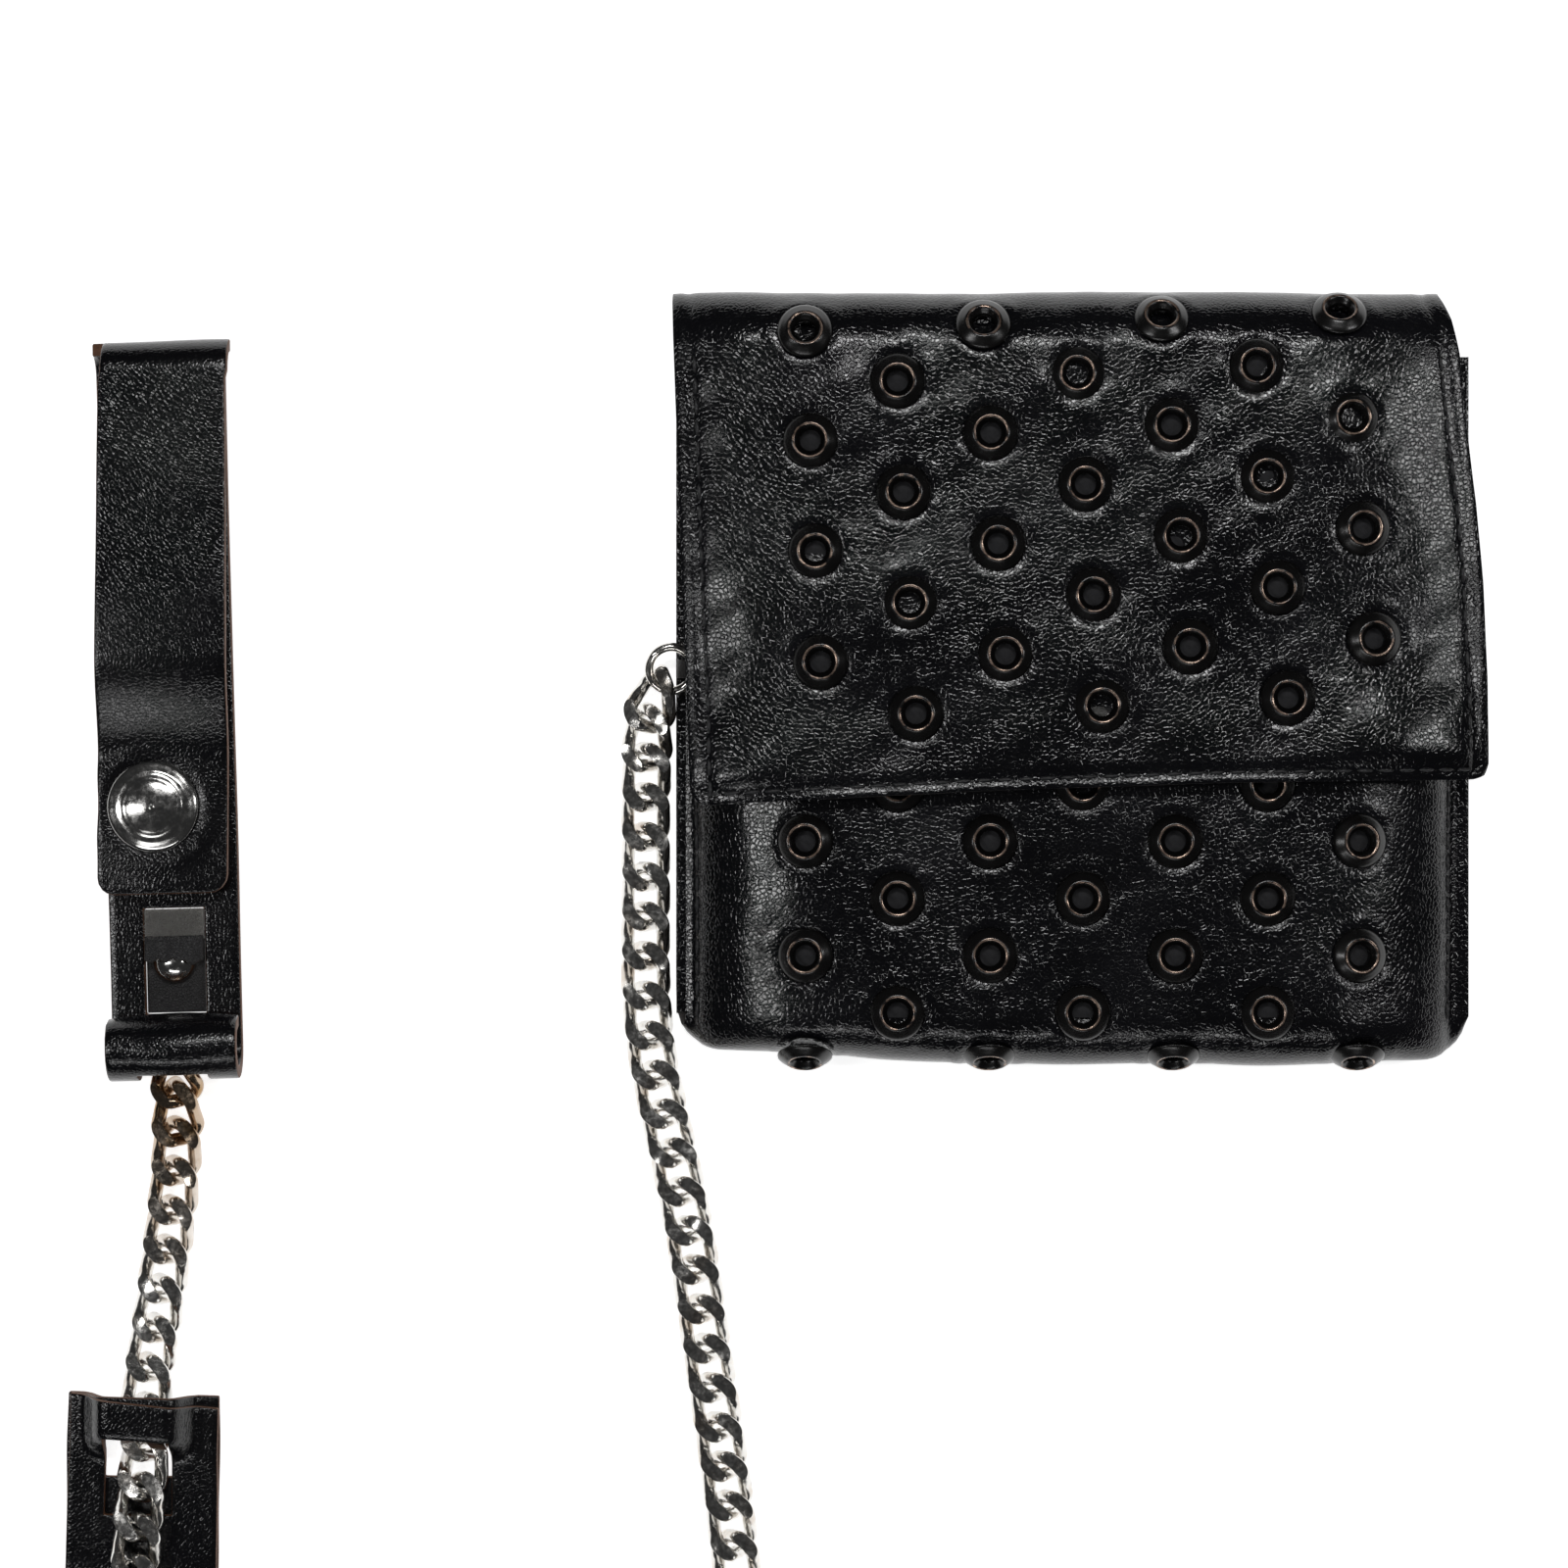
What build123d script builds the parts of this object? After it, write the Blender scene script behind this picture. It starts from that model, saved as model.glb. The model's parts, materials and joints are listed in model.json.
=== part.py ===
from build123d import *
from math import cos, pi, radians, sin, sqrt, tan
import os

# A black leather flap wallet studded with open eyelets, its curb chain and its belt loop, lying face up.
# Millimetres. The origin is the middle of the wallet's back face on the table.
# X runs right, Y up the wallet and Z up.

# ---- leather and lining
leather = 1.3
lining = 0.5
layer_gap = 0.05

# ---- pouch
body_width = 106.8
body_height = 103.2
bottom_radius = 6.3
seam_height = 4.4
seam_margin = 2.0
seam_inner = 3.4
body_corner = 6.0
shoulder_run = 20.0
mouth_setback = 0.3
lining_setback = 0.5
lining_margin = 3.0
lining_notch = (12.0, 5.0)
divider_half_width = 43.0
divider_setback = 2.0
divider_clear = 0.6
divider_thick = 0.7
card_thick = 0.7
card_inset = 1.0
card_drops = (22.0, 36.0)
thumb_radius = 9.0
thumb_rise = 4.0

# ---- top fold and flap
flap_clear = 0.4
flap_overhang_left = 0.2
flap_overhang_right = 1.4
flap_length = 59.8
flap_turn = 2.4
flap_corner = 2.6
flap_flat_half = 30.0
flap_drop = 4.0
flap_left_slant = 2.6
flap_right_slant = 3.8
flap_end_left = 1.6
flap_end_right = 1.9
flap_square_run = 28.0
fold_inset_right = 3.6
fold_inset_slant = 1.4
fold_lower = (45, 94)
fold_upper_start = 99

# ---- eyelets
eyelet_flange = 3.7
eyelet_bore = 1.8
eyelet_barrel = 2.2
eyelet_depth = 0.75
eyelet_height = 1.2
eyelet_sink = 0.12
eyelet_fold_sink = 0.5
eyelet_clear = 0.06
column_pitch = 24.6
front_margin = 12.0
front_row_pitch = 7.6
front_shift = 0.9
front_first_row = -6.9
flap_margin = 10.0
flap_row_pitch = 7.32
flap_first_row = 3.75
flap_grid_lean = 4.3
flap_grid_shift = -0.35
flap_gather = 0.04

# ---- hidden press stud between flap and front
stud_row = 6
stud_flange = 2.7
stud_knob = 1.4
stud_plate = 0.3
stud_rim = 1.0
stud_clear = 0.35

# ---- ring and chain tab
ring_radius = 3.0
ring_wire = 0.6
ring_y = 1.3
ring_z = 4.1
ring_outset = -0.6
ring_tilt = 12.0
ring_hook = 235.0
tab_width = 2.4
tab_thick = 0.8
tab_clear = 0.8
tab_length = 5.0
tab_slit = 1.2
tab_slot = 9.0
tab_over = 0.3
ring_slot = 5.0
ring_room = 1.0
seam_relief = 0.8
seam_relief_low = -11.0

# ---- curb chain
chain_width = 6.7
chain_wire = 1.9
chain_pitch = 5.4
chain_thick = 3.7
link_play = 0.3
chain_lift = 0.06
chain_room = 1.25
chain_side_gap = 0.75
link_twist = -60.0
ring_reach = 1.75
bar_reach = 2.0
end_roll = 24.0
end_roll_links = 2
links_per_segment = 7

# ---- belt loop strap (its own frame: u runs down the strap from its top fold, v across it)
strap_out = 65.8
strap_rise = 97.0
strap_turn = 1.45
strap_width = 17.5
strap_length = 99.5
strap_thick = 1.8
belt_gap = 5.2
tongue_length = 74.4
belt_stretch = 42.0
tongue_skew = 1.75
tongue_shift = 1.45
tongue_corner = 2.4
snap_u = 62.6
snap_shift = -1.5
snap_gap = 1.5
cap_radius = 6.2
cap_height = 2.0
cap_edge = 0.5
cap_seat = 0.1
cap_stem = 1.2
socket_radius = 4.0
socket_bore = 1.9
socket_thick = 0.7
stud_foot = 3.6
stud_head = 1.5
stud_head_height = 1.05
post_radius = 1.0
post_clear = 0.05
end_fold_gap = 5.2
end_fold_length = 8.6
end_fold_rest = 1.6
end_slot = chain_width + 2 * chain_room
end_slot_run = 3.6
end_skive = 0.75
bar_radius = 0.6
bar_hold = 1.9
bar_length = end_slot + 2 * bar_hold
window_width = 8.2
window_length = 14.3
window_u = 76.4
rivet_u = 83.8
rivet_v = -0.2
rivet_radius = 2.9
rivet_height = 1.9
rivet_edge = 0.2
window_clear = 0.15
floor_rise = 0.1
floor_thick = 0.8
nap_length = 4.2
nap_thick = 0.8
band_run = (3.6, 7.2)
band_thick = 0.35
band_clear = 0.18

# ---- leather keeper on the chain
keeper_width = 20.5
keeper_length = 50.0
keeper_ply = 1.2
keeper_bridge = 5.4
keeper_foot = 3.4
keeper_slot_width = chain_width + 2 * chain_room
keeper_slot_v = -0.5
keeper_slot_length = 11.0
keeper_slot_lower = 6.0
keeper_out = 68.0
keeper_below = 45.0
keeper_turn = 0.7
keeper_clear = 0.65
ply_gap = 0.02

back_left = -body_width / 2
back_right = body_width / 2
pouch_top = body_height / 2
# The fold is as round as the pouch, its eyelets and the flap's layers are thick.
top_radius = bottom_radius + (eyelet_height + leather + lining + flap_clear) / 2
fold_y = pouch_top - top_radius
bottom_y = -body_height / 2 + bottom_radius
mouth_y = fold_y - mouth_setback
pouch_low = bottom_y - bottom_radius
front_top = 2 * bottom_radius
flap_top = 2 * top_radius
far = 400.0

# What lies beside the pouch keeps its place from the pouch's left side and lower end.
chain_x = back_left - chain_width / 2 - chain_side_gap
strap_x = chain_x - strap_out
strap_top = pouch_low + strap_rise
keeper_x = chain_x - keeper_out
keeper_y = pouch_low - keeper_below

# Rows of eyelets fill the front up to its margin, and the flap down to its own.
front_first_y = bottom_y + front_first_row
front_rows = int((mouth_y - front_margin - front_first_y) / front_row_pitch) + 1
flap_rows = int((flap_length + flap_first_row - flap_margin) / flap_row_pitch) + 1
stud_x = front_shift
stud_y = front_first_y + stud_row * front_row_pitch


def arc_radius(run, drop):
    """Radius of an arc that is level at its start and has fallen by drop after run."""
    return (run ** 2 + drop ** 2) / (2 * drop)


def along_x(face_edges, half):
    """A profile drawn in (y, z), pulled both ways along X."""
    face = make_face(Plane.YZ * face_edges)
    return extrude(face, amount=half, both=True)


def along_y(face_edges, y0, y1):
    """A profile drawn in (x, z), pulled from y0 to y1."""
    face = make_face(Plane.XZ * face_edges)
    solid = extrude(face, amount=(y1 - y0) / 2, both=True)
    return Pos(0, (y0 + y1) / 2, 0) * solid


def block(x0, x1, y0, y1, z0, z1):
    size = Box(x1 - x0, y1 - y0, z1 - z0)
    return Pos((x0 + x1) / 2, (y0 + y1) / 2, (z0 + z1) / 2) * size


def one(shape):
    """The largest solid of a shape."""
    return sorted(shape.solids(), key=lambda s: s.volume)[-1]


def save(name, shape):
    shape.label = name
    export_step(shape, f"parts/{name}.step")


def save_group(name, solids):
    save(name, Compound(children=list(solids)))


# ---------------------------------------------------------------- pouch

shoulder_arc = arc_radius(shoulder_run - seam_margin, front_top - seam_height)
shoulder_x = back_right - shoulder_run


def pouch_section(inset, half, low):
    """The pouch across X: flat underneath, pillowed on top, inset from the outer leather face."""
    top = front_top - inset
    radius = shoulder_arc - inset
    reach = half - shoulder_x
    fall = radius - sqrt(radius ** 2 - reach ** 2)
    edge = top - fall
    right = TangentArc((shoulder_x, top), (half, edge), tangent=(1, 0))
    left = TangentArc((-shoulder_x, top), (-half, edge), tangent=(-1, 0))
    sides = Polyline((half, edge), (half, low), (-half, low), (-half, edge))
    return right + left + sides + Line((-shoulder_x, top), (shoulder_x, top))


def pouch_profile(inset, low, open_to):
    """The pouch along Y: a half round at the bottom fold, open at the mouth."""
    r = bottom_radius - inset
    z = bottom_radius
    turn = ThreePointArc((bottom_y, z + r), (bottom_y - r, z), (bottom_y, z - r))
    rest = Polyline((bottom_y, z - r), (open_to, z - r), (open_to, z + r), (bottom_y, z + r))
    return turn + rest


def pouch_solid(inset, half, low, open_to):
    across = along_y(pouch_section(inset, half, low), -body_height, open_to)
    return across & along_x(pouch_profile(inset, low, open_to), half)


def seam_strip(side):
    """The flat stitched margin of a side seam, both layers pressed together."""
    x0, x1 = sorted((side * (back_right - seam_margin - 0.02), side * back_right))
    strip = block(x0, x1, bottom_y - bottom_radius, mouth_y, 0, seam_height)
    return strip & along_x(pouch_profile(0, 0, mouth_y), far)


def fold_sector(start, end, inner, outer):
    """Part of a ring about the top fold's centre, start and end in degrees from straight down."""
    ring = along_x(Circle(outer).edge(), far)
    ring = Pos(0, fold_y, top_radius) * ring
    hole = Pos(0, fold_y, top_radius) * along_x(Circle(inner).edge(), far)
    reach = 4 * outer
    middle = (start + end) / 2
    points = [(0, 0)]
    for angle in (start, middle, end):
        a = radians(angle)
        points.append((reach * sin(a), -reach * cos(a)))
    wedge = Pos(0, fold_y, top_radius) * along_x(Polyline(*points, close=True), far)
    return (ring - hole) & wedge


def corner_round(x):
    """What a rounded lower corner of the pouch takes away at one side."""
    side = 1 if x > 0 else -1
    r = body_corner
    low = bottom_y - bottom_radius
    square = block(min(x - side * r, x + side), max(x - side * r, x + side), low - 1, low + r, -1, far)
    return square - Pos(x - side * r, low + r, 0) * Cylinder(r, 3 * far)


def outer_shell():
    core = pouch_solid(0, back_right - seam_margin, 0, mouth_y)
    for side in (-1, 1):
        core += seam_strip(side)
    cavity = pouch_solid(leather, back_right - seam_inner, leather, mouth_y + 1)
    shell = core - cavity
    back = block(back_left, back_right, mouth_y - 1, fold_y, 0, leather)
    lip = fold_sector(0, fold_lower[0] - 2, top_radius - leather, top_radius)
    lip &= block(back_left, back_right, fold_y, fold_y + far, 0, far)
    shell = shell + back + lip
    for corner in (back_left, back_right):
        shell -= corner_round(corner)
    reach = ring_radius + ring_wire + ring_room
    tab_top = ring_z + ring_wire + tab_clear + tab_thick + tab_over
    shell -= block(back_left - 1, back_left + ring_slot, ring_y - reach, ring_y + reach, leather, front_top)
    shell -= block(back_left - 1, back_left + seam_relief, seam_relief_low, ring_y, leather, front_top)
    tab_low, tab_high = ring_y - tab_width, ring_y + tab_width
    shell -= block(back_left, back_left + tab_slot, tab_low, tab_high, leather + 0.02, tab_top)
    shell -= front_seats()
    return one(shell)


# ---------------------------------------------------------------- eyelets

def eyelet():
    """A pressed eyelet: a domed flange with a raised lip and an open barrel."""
    f = eyelet_flange
    h = eyelet_height
    outline = Polyline(
        (eyelet_bore, -eyelet_depth),
        (eyelet_barrel, -eyelet_depth),
        (eyelet_barrel, 0),
        (f, 0),
        (f - 0.08, 0.3 * h),
        (f - 0.6, 0.62 * h),
        (eyelet_bore + 0.7, h),
        (eyelet_bore + 0.35, h),
        (eyelet_bore, 0.6 * h),
        close=True,
    )
    return one(revolve(make_face(Plane.XZ * outline), Axis.Z))


def front_places():
    """Planes of the front eyelets: rows climb from the bottom fold, every second row half a pitch over."""
    places = []
    for row in range(front_rows):
        run = front_first_row + row * front_row_pitch
        count = 4 if row % 2 == 0 else 3
        for k in range(count):
            x = front_shift + (k - (count - 1) / 2) * column_pitch
            if run < 0:
                a = -run / bottom_radius
                normal = Vector(0, -sin(a), cos(a))
                centre = Vector(0, bottom_y, bottom_radius)
                point = centre + normal * (bottom_radius - eyelet_fold_sink)
                point = point + Vector(x, 0, 0)
            else:
                over = max(abs(x) - shoulder_x, 0) * (1 if x > 0 else -1)
                drop = shoulder_arc - sqrt(shoulder_arc ** 2 - over ** 2)
                normal = Vector(over / shoulder_arc, 0, 1 - drop / shoulder_arc).normalized()
                point = Vector(x, bottom_y + run, front_top - drop) - normal * eyelet_sink
            places.append(Plane(origin=point, x_dir=(0, 1, 0), z_dir=normal))
    return places


def flap_places():
    """Planes of the flap eyelets: the grid leans and draws in towards the fold, where its first row is."""
    places = []
    lean = radians(flap_turn)
    slant = radians(flap_grid_lean)
    for row in range(flap_rows):
        run = flap_first_row - row * flap_row_pitch
        spread = 1 - flap_gather * (1 - row / (flap_rows - 1))
        count = 4 if row % 2 == 0 else 3
        for k in range(count):
            across = (k - (count - 1) / 2) * column_pitch * spread
            x = across * cos(lean) - run * sin(slant) + flap_grid_shift
            y = run * cos(lean) + across * sin(lean)
            if y > 0:
                a = min(y, top_radius * 1.2) / top_radius
                normal = Vector(0, sin(a), cos(a))
                centre = Vector(x, fold_y, top_radius)
                point = centre + normal * (top_radius - eyelet_fold_sink)
            else:
                over = max(abs(x) - flap_flat_half, 0) * (1 if x > 0 else -1)
                drop = flap_arc - sqrt(flap_arc ** 2 - over ** 2)
                normal = Vector(over / flap_arc, 0, 1 - drop / flap_arc).normalized()
                point = Vector(x, fold_y + y, flap_top - drop) - normal * eyelet_sink
            places.append(Plane(origin=point, x_dir=(0, 1, 0), z_dir=normal))
    return places


def seats(places):
    """The holes that the eyelets sit in: a bore for the barrel and a flat seat for the flange."""
    bore = Cylinder(eyelet_barrel + eyelet_clear, 6 * leather)
    seat = Pos(0, 0, 3) * Cylinder(eyelet_flange + eyelet_clear, 6)
    tool = bore + seat
    return Part() + [plane * tool for plane in places]


def front_seats():
    return seats(front_places())


def eyelet_group(places):
    master = eyelet()
    return [plane * master for plane in places]


# ---------------------------------------------------------------- inside of the pouch

def front_lining():
    lining_end = mouth_y - lining_setback
    top = pouch_solid(leather + layer_gap, back_right - seam_inner - 1, leather, lining_end)
    inner = pouch_solid(leather + layer_gap + lining, back_right, leather, mouth_y + 1)
    band = top - inner
    run, half = lining_notch
    tab_room = block(back_left, back_left + run, ring_y - half, ring_y + half, 0, far)
    upper = block(-far, far, bottom_y, far, bottom_radius, far)
    return one((band & upper) - tab_room)


def back_lining():
    half = divider_half_width + lining_margin
    z = leather + layer_gap
    return one(block(-half, half, bottom_y, mouth_y - lining_setback, z, z + lining))


divider_z = leather + layer_gap + lining + divider_clear
divider_low = bottom_y + divider_setback


def note_divider():
    w = divider_half_width
    return one(block(-w, w, divider_low, mouth_y - divider_setback, divider_z, divider_z + divider_thick))


def card_pocket(step):
    top = mouth_y - card_drops[step]
    z = divider_z + divider_thick + layer_gap + step * (card_thick + layer_gap)
    w = divider_half_width - card_inset
    panel = block(-w, w, divider_low, top, z, z + card_thick)
    thumb = Pos(0, top + thumb_rise, z + card_thick / 2) * Cylinder(thumb_radius, 3 * card_thick)
    return one(panel - thumb)


# ---------------------------------------------------------------- top fold and flap

flap_left = back_left - flap_overhang_left
flap_right = back_right + flap_overhang_right
flap_end = fold_y - flap_length
flap_half = max(-flap_left, flap_right) + leather
flap_arc = arc_radius(back_right - flap_flat_half, flap_drop)


def wrap(inset):
    """All that lies within the flap's face, inset by a depth: the flap, domed across, and its top fold."""
    r = top_radius - inset
    turn = ThreePointArc((fold_y, top_radius - r), (fold_y + r, top_radius), (fold_y, top_radius + r))
    low = -body_height
    high = top_radius + r
    flat = top_radius - r
    rest = Polyline((fold_y, high), (low, high), (low, flat), (fold_y, flat))
    profile = along_x(turn + rest, flap_half)
    top = flap_top - inset
    radius = flap_arc - inset
    reach = flap_half - flap_flat_half
    edge = top - (radius - sqrt(radius ** 2 - reach ** 2))
    right = TangentArc((flap_flat_half, top), (flap_half, edge), tangent=(1, 0))
    left = TangentArc((-flap_flat_half, top), (-flap_half, edge), tangent=(-1, 0))
    sides = Polyline((flap_half, edge), (flap_half, -1), (-flap_half, -1), (-flap_half, edge))
    crown = right + left + sides + Line((-flap_flat_half, top), (flap_flat_half, top))
    return profile & along_y(crown, -body_height, body_height)


def flap_outline(inset):
    """The flap's cut shape seen from above; its free end leans and its right side steps in at the fold."""
    left = flap_left + inset
    right = flap_right - inset
    end_left = flap_end - flap_end_left + inset
    end_right = flap_end + flap_end_right + inset
    fold_right = back_right - fold_inset_right - inset
    points = [
        (left, pouch_top + 5),
        (left, fold_y),
        (left + flap_left_slant, end_left),
        (right, end_right),
        (right, end_right + flap_square_run),
        (right - flap_right_slant, fold_y),
        (fold_right, fold_y + 0.8 * top_radius),
        (fold_right - fold_inset_slant, pouch_top + 5),
    ]
    face = make_face(Polyline(*points, close=True))
    corners = sorted(face.vertices(), key=lambda v: v.Y)[:2]
    face = fillet(corners, flap_corner)
    return extrude(Pos(0, 0, -1) * face, amount=4 * top_radius)


def fold_span(start, end):
    """A wedge of the top fold between two angles, with the flap behind it when it ends at 180."""
    points = [(0, 0)]
    reach = 4 * body_height
    step = 12
    for k in range(step + 1):
        a = radians(start + (end - start) * k / step)
        points.append((reach * sin(a), -reach * cos(a)))
    wedge = along_x(Polyline(*points, close=True), far)
    return Pos(0, fold_y, top_radius) * wedge


def flap_layer(outer, inner, inset):
    return (wrap(outer) - wrap(inner)) & flap_outline(inset)


def top_fold():
    piece = flap_layer(0, leather, 0) & fold_span(*fold_lower)
    return one(piece)


def flap_leather():
    piece = flap_layer(0, leather, 0)
    bend = piece & fold_span(fold_upper_start, 180)
    bend &= block(-far, far, fold_y, far, 0, far)
    flat = piece & block(-far, far, -far, fold_y, top_radius, far)
    return one(bend + flat - seats(flap_places()))


def flap_lining():
    piece = flap_layer(leather + layer_gap, leather + layer_gap + lining, 2.0)
    piece &= block(-far, far, -far, fold_y - lining_setback / 2, top_radius, far)
    hole = Pos(stud_x, stud_y, flap_top) * Cylinder(stud_flange + stud_rim + 2 * layer_gap, top_radius)
    return one(piece - hole)


def front_snap_stud():
    """The lower half of the hidden press stud: a flanged knob that stands on the front panel."""
    flange = Pos(stud_x, stud_y, front_top + stud_plate / 2) * Cylinder(stud_flange, stud_plate)
    height = flap_top - leather - front_top - stud_clear
    middle = front_top + (stud_plate + height) / 2
    knob = Pos(stud_x, stud_y, middle) * Cylinder(stud_knob, height - stud_plate)
    return one(flange + knob)


def flap_snap_socket():
    """The upper half of the press stud: a ring under the flap leather that takes the knob."""
    low = front_top + stud_plate + stud_clear
    high = flap_top - leather - layer_gap
    ring = Pos(stud_x, stud_y, (low + high) / 2) * Cylinder(stud_flange + stud_rim, high - low)
    bore = Pos(stud_x, stud_y, (low + high) / 2) * Cylinder(stud_knob + stud_clear, high - low + 1)
    return one(ring - bore)


# ---------------------------------------------------------------- ring, tab and chain

ring_x = back_left + ring_outset
hook_angle = radians(ring_hook)
ring_lean = radians(ring_tilt)
ring_normal = (0, -sin(ring_lean), cos(ring_lean))
ring_plane = Plane(origin=(ring_x, ring_y, ring_z), x_dir=(1, 0, 0), z_dir=ring_normal)
hook_local = Vector(ring_radius * cos(hook_angle), ring_radius * sin(hook_angle), 0)
hook_point = ring_plane.from_local_coords(hook_local)


def wallet_ring():
    return one(ring_plane * Torus(ring_radius, ring_wire))


def chain_tab():
    """A narrow leather thong folded round the ring and caught in the left seam."""
    x = ring_x + ring_radius
    r = ring_wire + tab_clear
    loop = Cylinder(r + tab_thick, tab_width) - Cylinder(r, tab_width + 1)
    loop = Pos(x, ring_y, ring_z) * (Rot(90, 0, 0) * loop)
    half = tab_width / 2
    rise = r + tab_thick
    legs = block(x, x + tab_length, ring_y - half, ring_y + half, ring_z - rise, ring_z + rise)
    legs -= block(x, x + tab_length - tab_slit, -far, far, ring_z - r, ring_z + r)
    return one(loop + legs)


# The chain's line on the table, from the ring to the belt loop. Both legs run to the keeper and the strap,
# and the slack between them lies in one wide bend.
lie = chain_thick / 2 + chain_lift
on_ply = 2 * keeper_ply + lie + 5 * chain_lift


def keeper_point(u, v, z):
    """A point u below the keeper's top edge and v to the right of its middle line."""
    a = radians(keeper_turn)
    return (keeper_x - u * sin(a) + v * cos(a), keeper_y - u * cos(a) - v * sin(a), z)


strap_tilt = radians(strap_turn)


def strap_point(u, v, z):
    x = strap_x + u * sin(strap_tilt) + v * cos(strap_tilt)
    y = strap_top - u * cos(strap_tilt) + v * sin(strap_tilt)
    return (x, y, z)


strap_across = (cos(strap_tilt), sin(strap_tilt), 0)
strap_plane = Plane(origin=(strap_x, strap_top, 0), x_dir=strap_across, z_dir=(0, 0, 1))
bar_u = strap_length - strap_thick - 1.0
bar_z = strap_thick + end_fold_gap / 2
bar_point = strap_point(bar_u, 0, bar_z)

slot_end = keeper_bridge + keeper_slot_length


def beside(x, y, z=0.0):
    """A point of the chain's line measured from the ring, beside the pouch."""
    return (chain_x + x, ring_y + y, lie + z)


def below(x, y, z=0.0):
    """A point of the chain's line measured from the pouch's lower end."""
    return (chain_x + x, pouch_low + y, lie + z)


chain_route = [
    tuple(hook_point),
    beside(0.7, -5.5, 1.4),
    beside(0.2, -10.9, 0.55),
    beside(0, -18.3, 0.1),
    below(0, 23.6),
    below(0, 11.6),
    below(0.7, 2.1),
    below(2.7, -7.9),
    below(5.8, -22.5),
    below(8.3, -38.9),
    below(10.7, -55.3),
    below(12.6, -71.4),
    below(14.3, -89.4),
    below(14.9, -108.4),
    below(13.3, -129.4),
    below(6.0, -150.9),
    below(-8.5, -166.9),
    below(-28.0, -172.9),
    below(-47.5, -167.4),
    below(-62.5, -151.9),
    below(-70.3, -130.4),
    below(-71.4, -111.4),
    keeper_point(keeper_length + 1.0, -0.6, lie),
    keeper_point(keeper_length - keeper_bridge, -0.6, lie),
    keeper_point(keeper_length - slot_end + 0.5, -0.6, on_ply),
    keeper_point(keeper_length / 2, -0.35, on_ply),
    keeper_point(slot_end - 0.5, 0.1, on_ply),
    keeper_point(keeper_bridge, 0.45, lie),
    keeper_point(-1.0, 0.6, lie),
    below(-66.3, -36.4),
    below(-64.8, -25.8),
    below(-63.6, -15.3, 0.1),
    below(-63.2, -8.4, 0.75),
    bar_point,
]
chain_line = Spline(*[Vector(*p) for p in chain_route])
link_span = chain_line.length - ring_reach - bar_reach
link_count = round(link_span / chain_pitch) + 1
pitch = link_span / (link_count - 1)


def link_corner(x, y):
    """A corner of the link's centre line, turned about its long axis in step with x."""
    half = (chain_pitch + chain_wire + link_play) / 2
    a = radians(link_twist * x / half)
    return Vector(x, y * cos(a), y * sin(a))


def curb_link():
    """A twisted oval link with its high sides ground flat."""
    half = (chain_pitch + chain_wire + link_play) / 2
    side = 0.58 * half
    wide = (chain_width - chain_wire) / 2 / cos(radians(link_twist * side / half))
    end = 0.55 * wide
    corners = [
        link_corner(-side, wide),
        link_corner(side, wide),
        link_corner(half, end),
        link_corner(half, -end),
        link_corner(side, -wide),
        link_corner(-side, -wide),
    ]
    start = (corners[0] + corners[1]) * 0.5
    finish = (corners[4] + corners[5]) * 0.5
    bends = [1.05 * chain_wire, 0.62 * chain_wire, 0.62 * chain_wire, 1.05 * chain_wire]
    path = FilletPolyline(start, *corners[1:5], finish, radius=bends)
    wire = Plane(origin=start, z_dir=(corners[1] - corners[0]).normalized()) * Circle(chain_wire / 2)
    half_link = one(sweep(wire, path=path))
    half_link = one(half_link & Box(4 * chain_pitch, 4 * chain_width, chain_thick))
    return one(Part() + half_link + half_link.rotate(Axis.Y, 180))


def link_place(index):
    """The plane of a link: along the chain's line, with its flats level."""
    s = ring_reach + index * pitch
    point = chain_line.position_at(s, position_mode=PositionMode.LENGTH)
    ahead = chain_line.position_at(min(s + pitch / 2, chain_line.length), position_mode=PositionMode.LENGTH)
    behind = chain_line.position_at(max(s - pitch / 2, 0), position_mode=PositionMode.LENGTH)
    along = (ahead - behind).normalized()
    across = Vector(0, 0, 1).cross(along).normalized()
    level = Plane(origin=point, x_dir=along, z_dir=along.cross(across))
    from_end = min(index, link_count - 1 - index)
    roll = end_roll * max(1 - from_end / end_roll_links, 0)
    sign = 1 if index < link_count / 2 else -1
    return Plane(level * Rot(sign * roll, 0, 0))


def crossing(index):
    """Where link index meets the one before it: the first meets the ring."""
    if index == 0:
        return hook_point
    s = ring_reach + (index - 0.5) * pitch
    return chain_line.position_at(s, position_mode=PositionMode.LENGTH)


def in_keeper(index):
    """Whether a link lies in the keeper or just beside it, where the chain can't bend."""
    place = link_place(index).origin
    low = keeper_y - keeper_length - chain_pitch
    return low < place.Y < keeper_y + chain_pitch / 2 and abs(place.X - keeper_x) < keeper_width / 2


keeper_links = [k for k in range(link_count) if in_keeper(k)]
segment_starts = list(range(0, keeper_links[0] - links_per_segment // 2, links_per_segment))
segment_starts += [keeper_links[0], keeper_links[-1] + 1]


def segment_links(n):
    first = segment_starts[n]
    last = segment_starts[n + 1] if n + 1 < len(segment_starts) else link_count
    return range(first, last)


# ---------------------------------------------------------------- belt loop strap

tongue_low = strap_thick + belt_gap
loop_radius = (belt_gap + 2 * strap_thick) / 2
tongue_rest = strap_thick + snap_gap


def strap_slab(u0, u1, z0, z1, width=strap_width, v=0.0):
    """A level stretch of strap in its own frame, where u runs down it."""
    return block(v - width / 2, v + width / 2, -u1, -u0, z0, z1)


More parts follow.
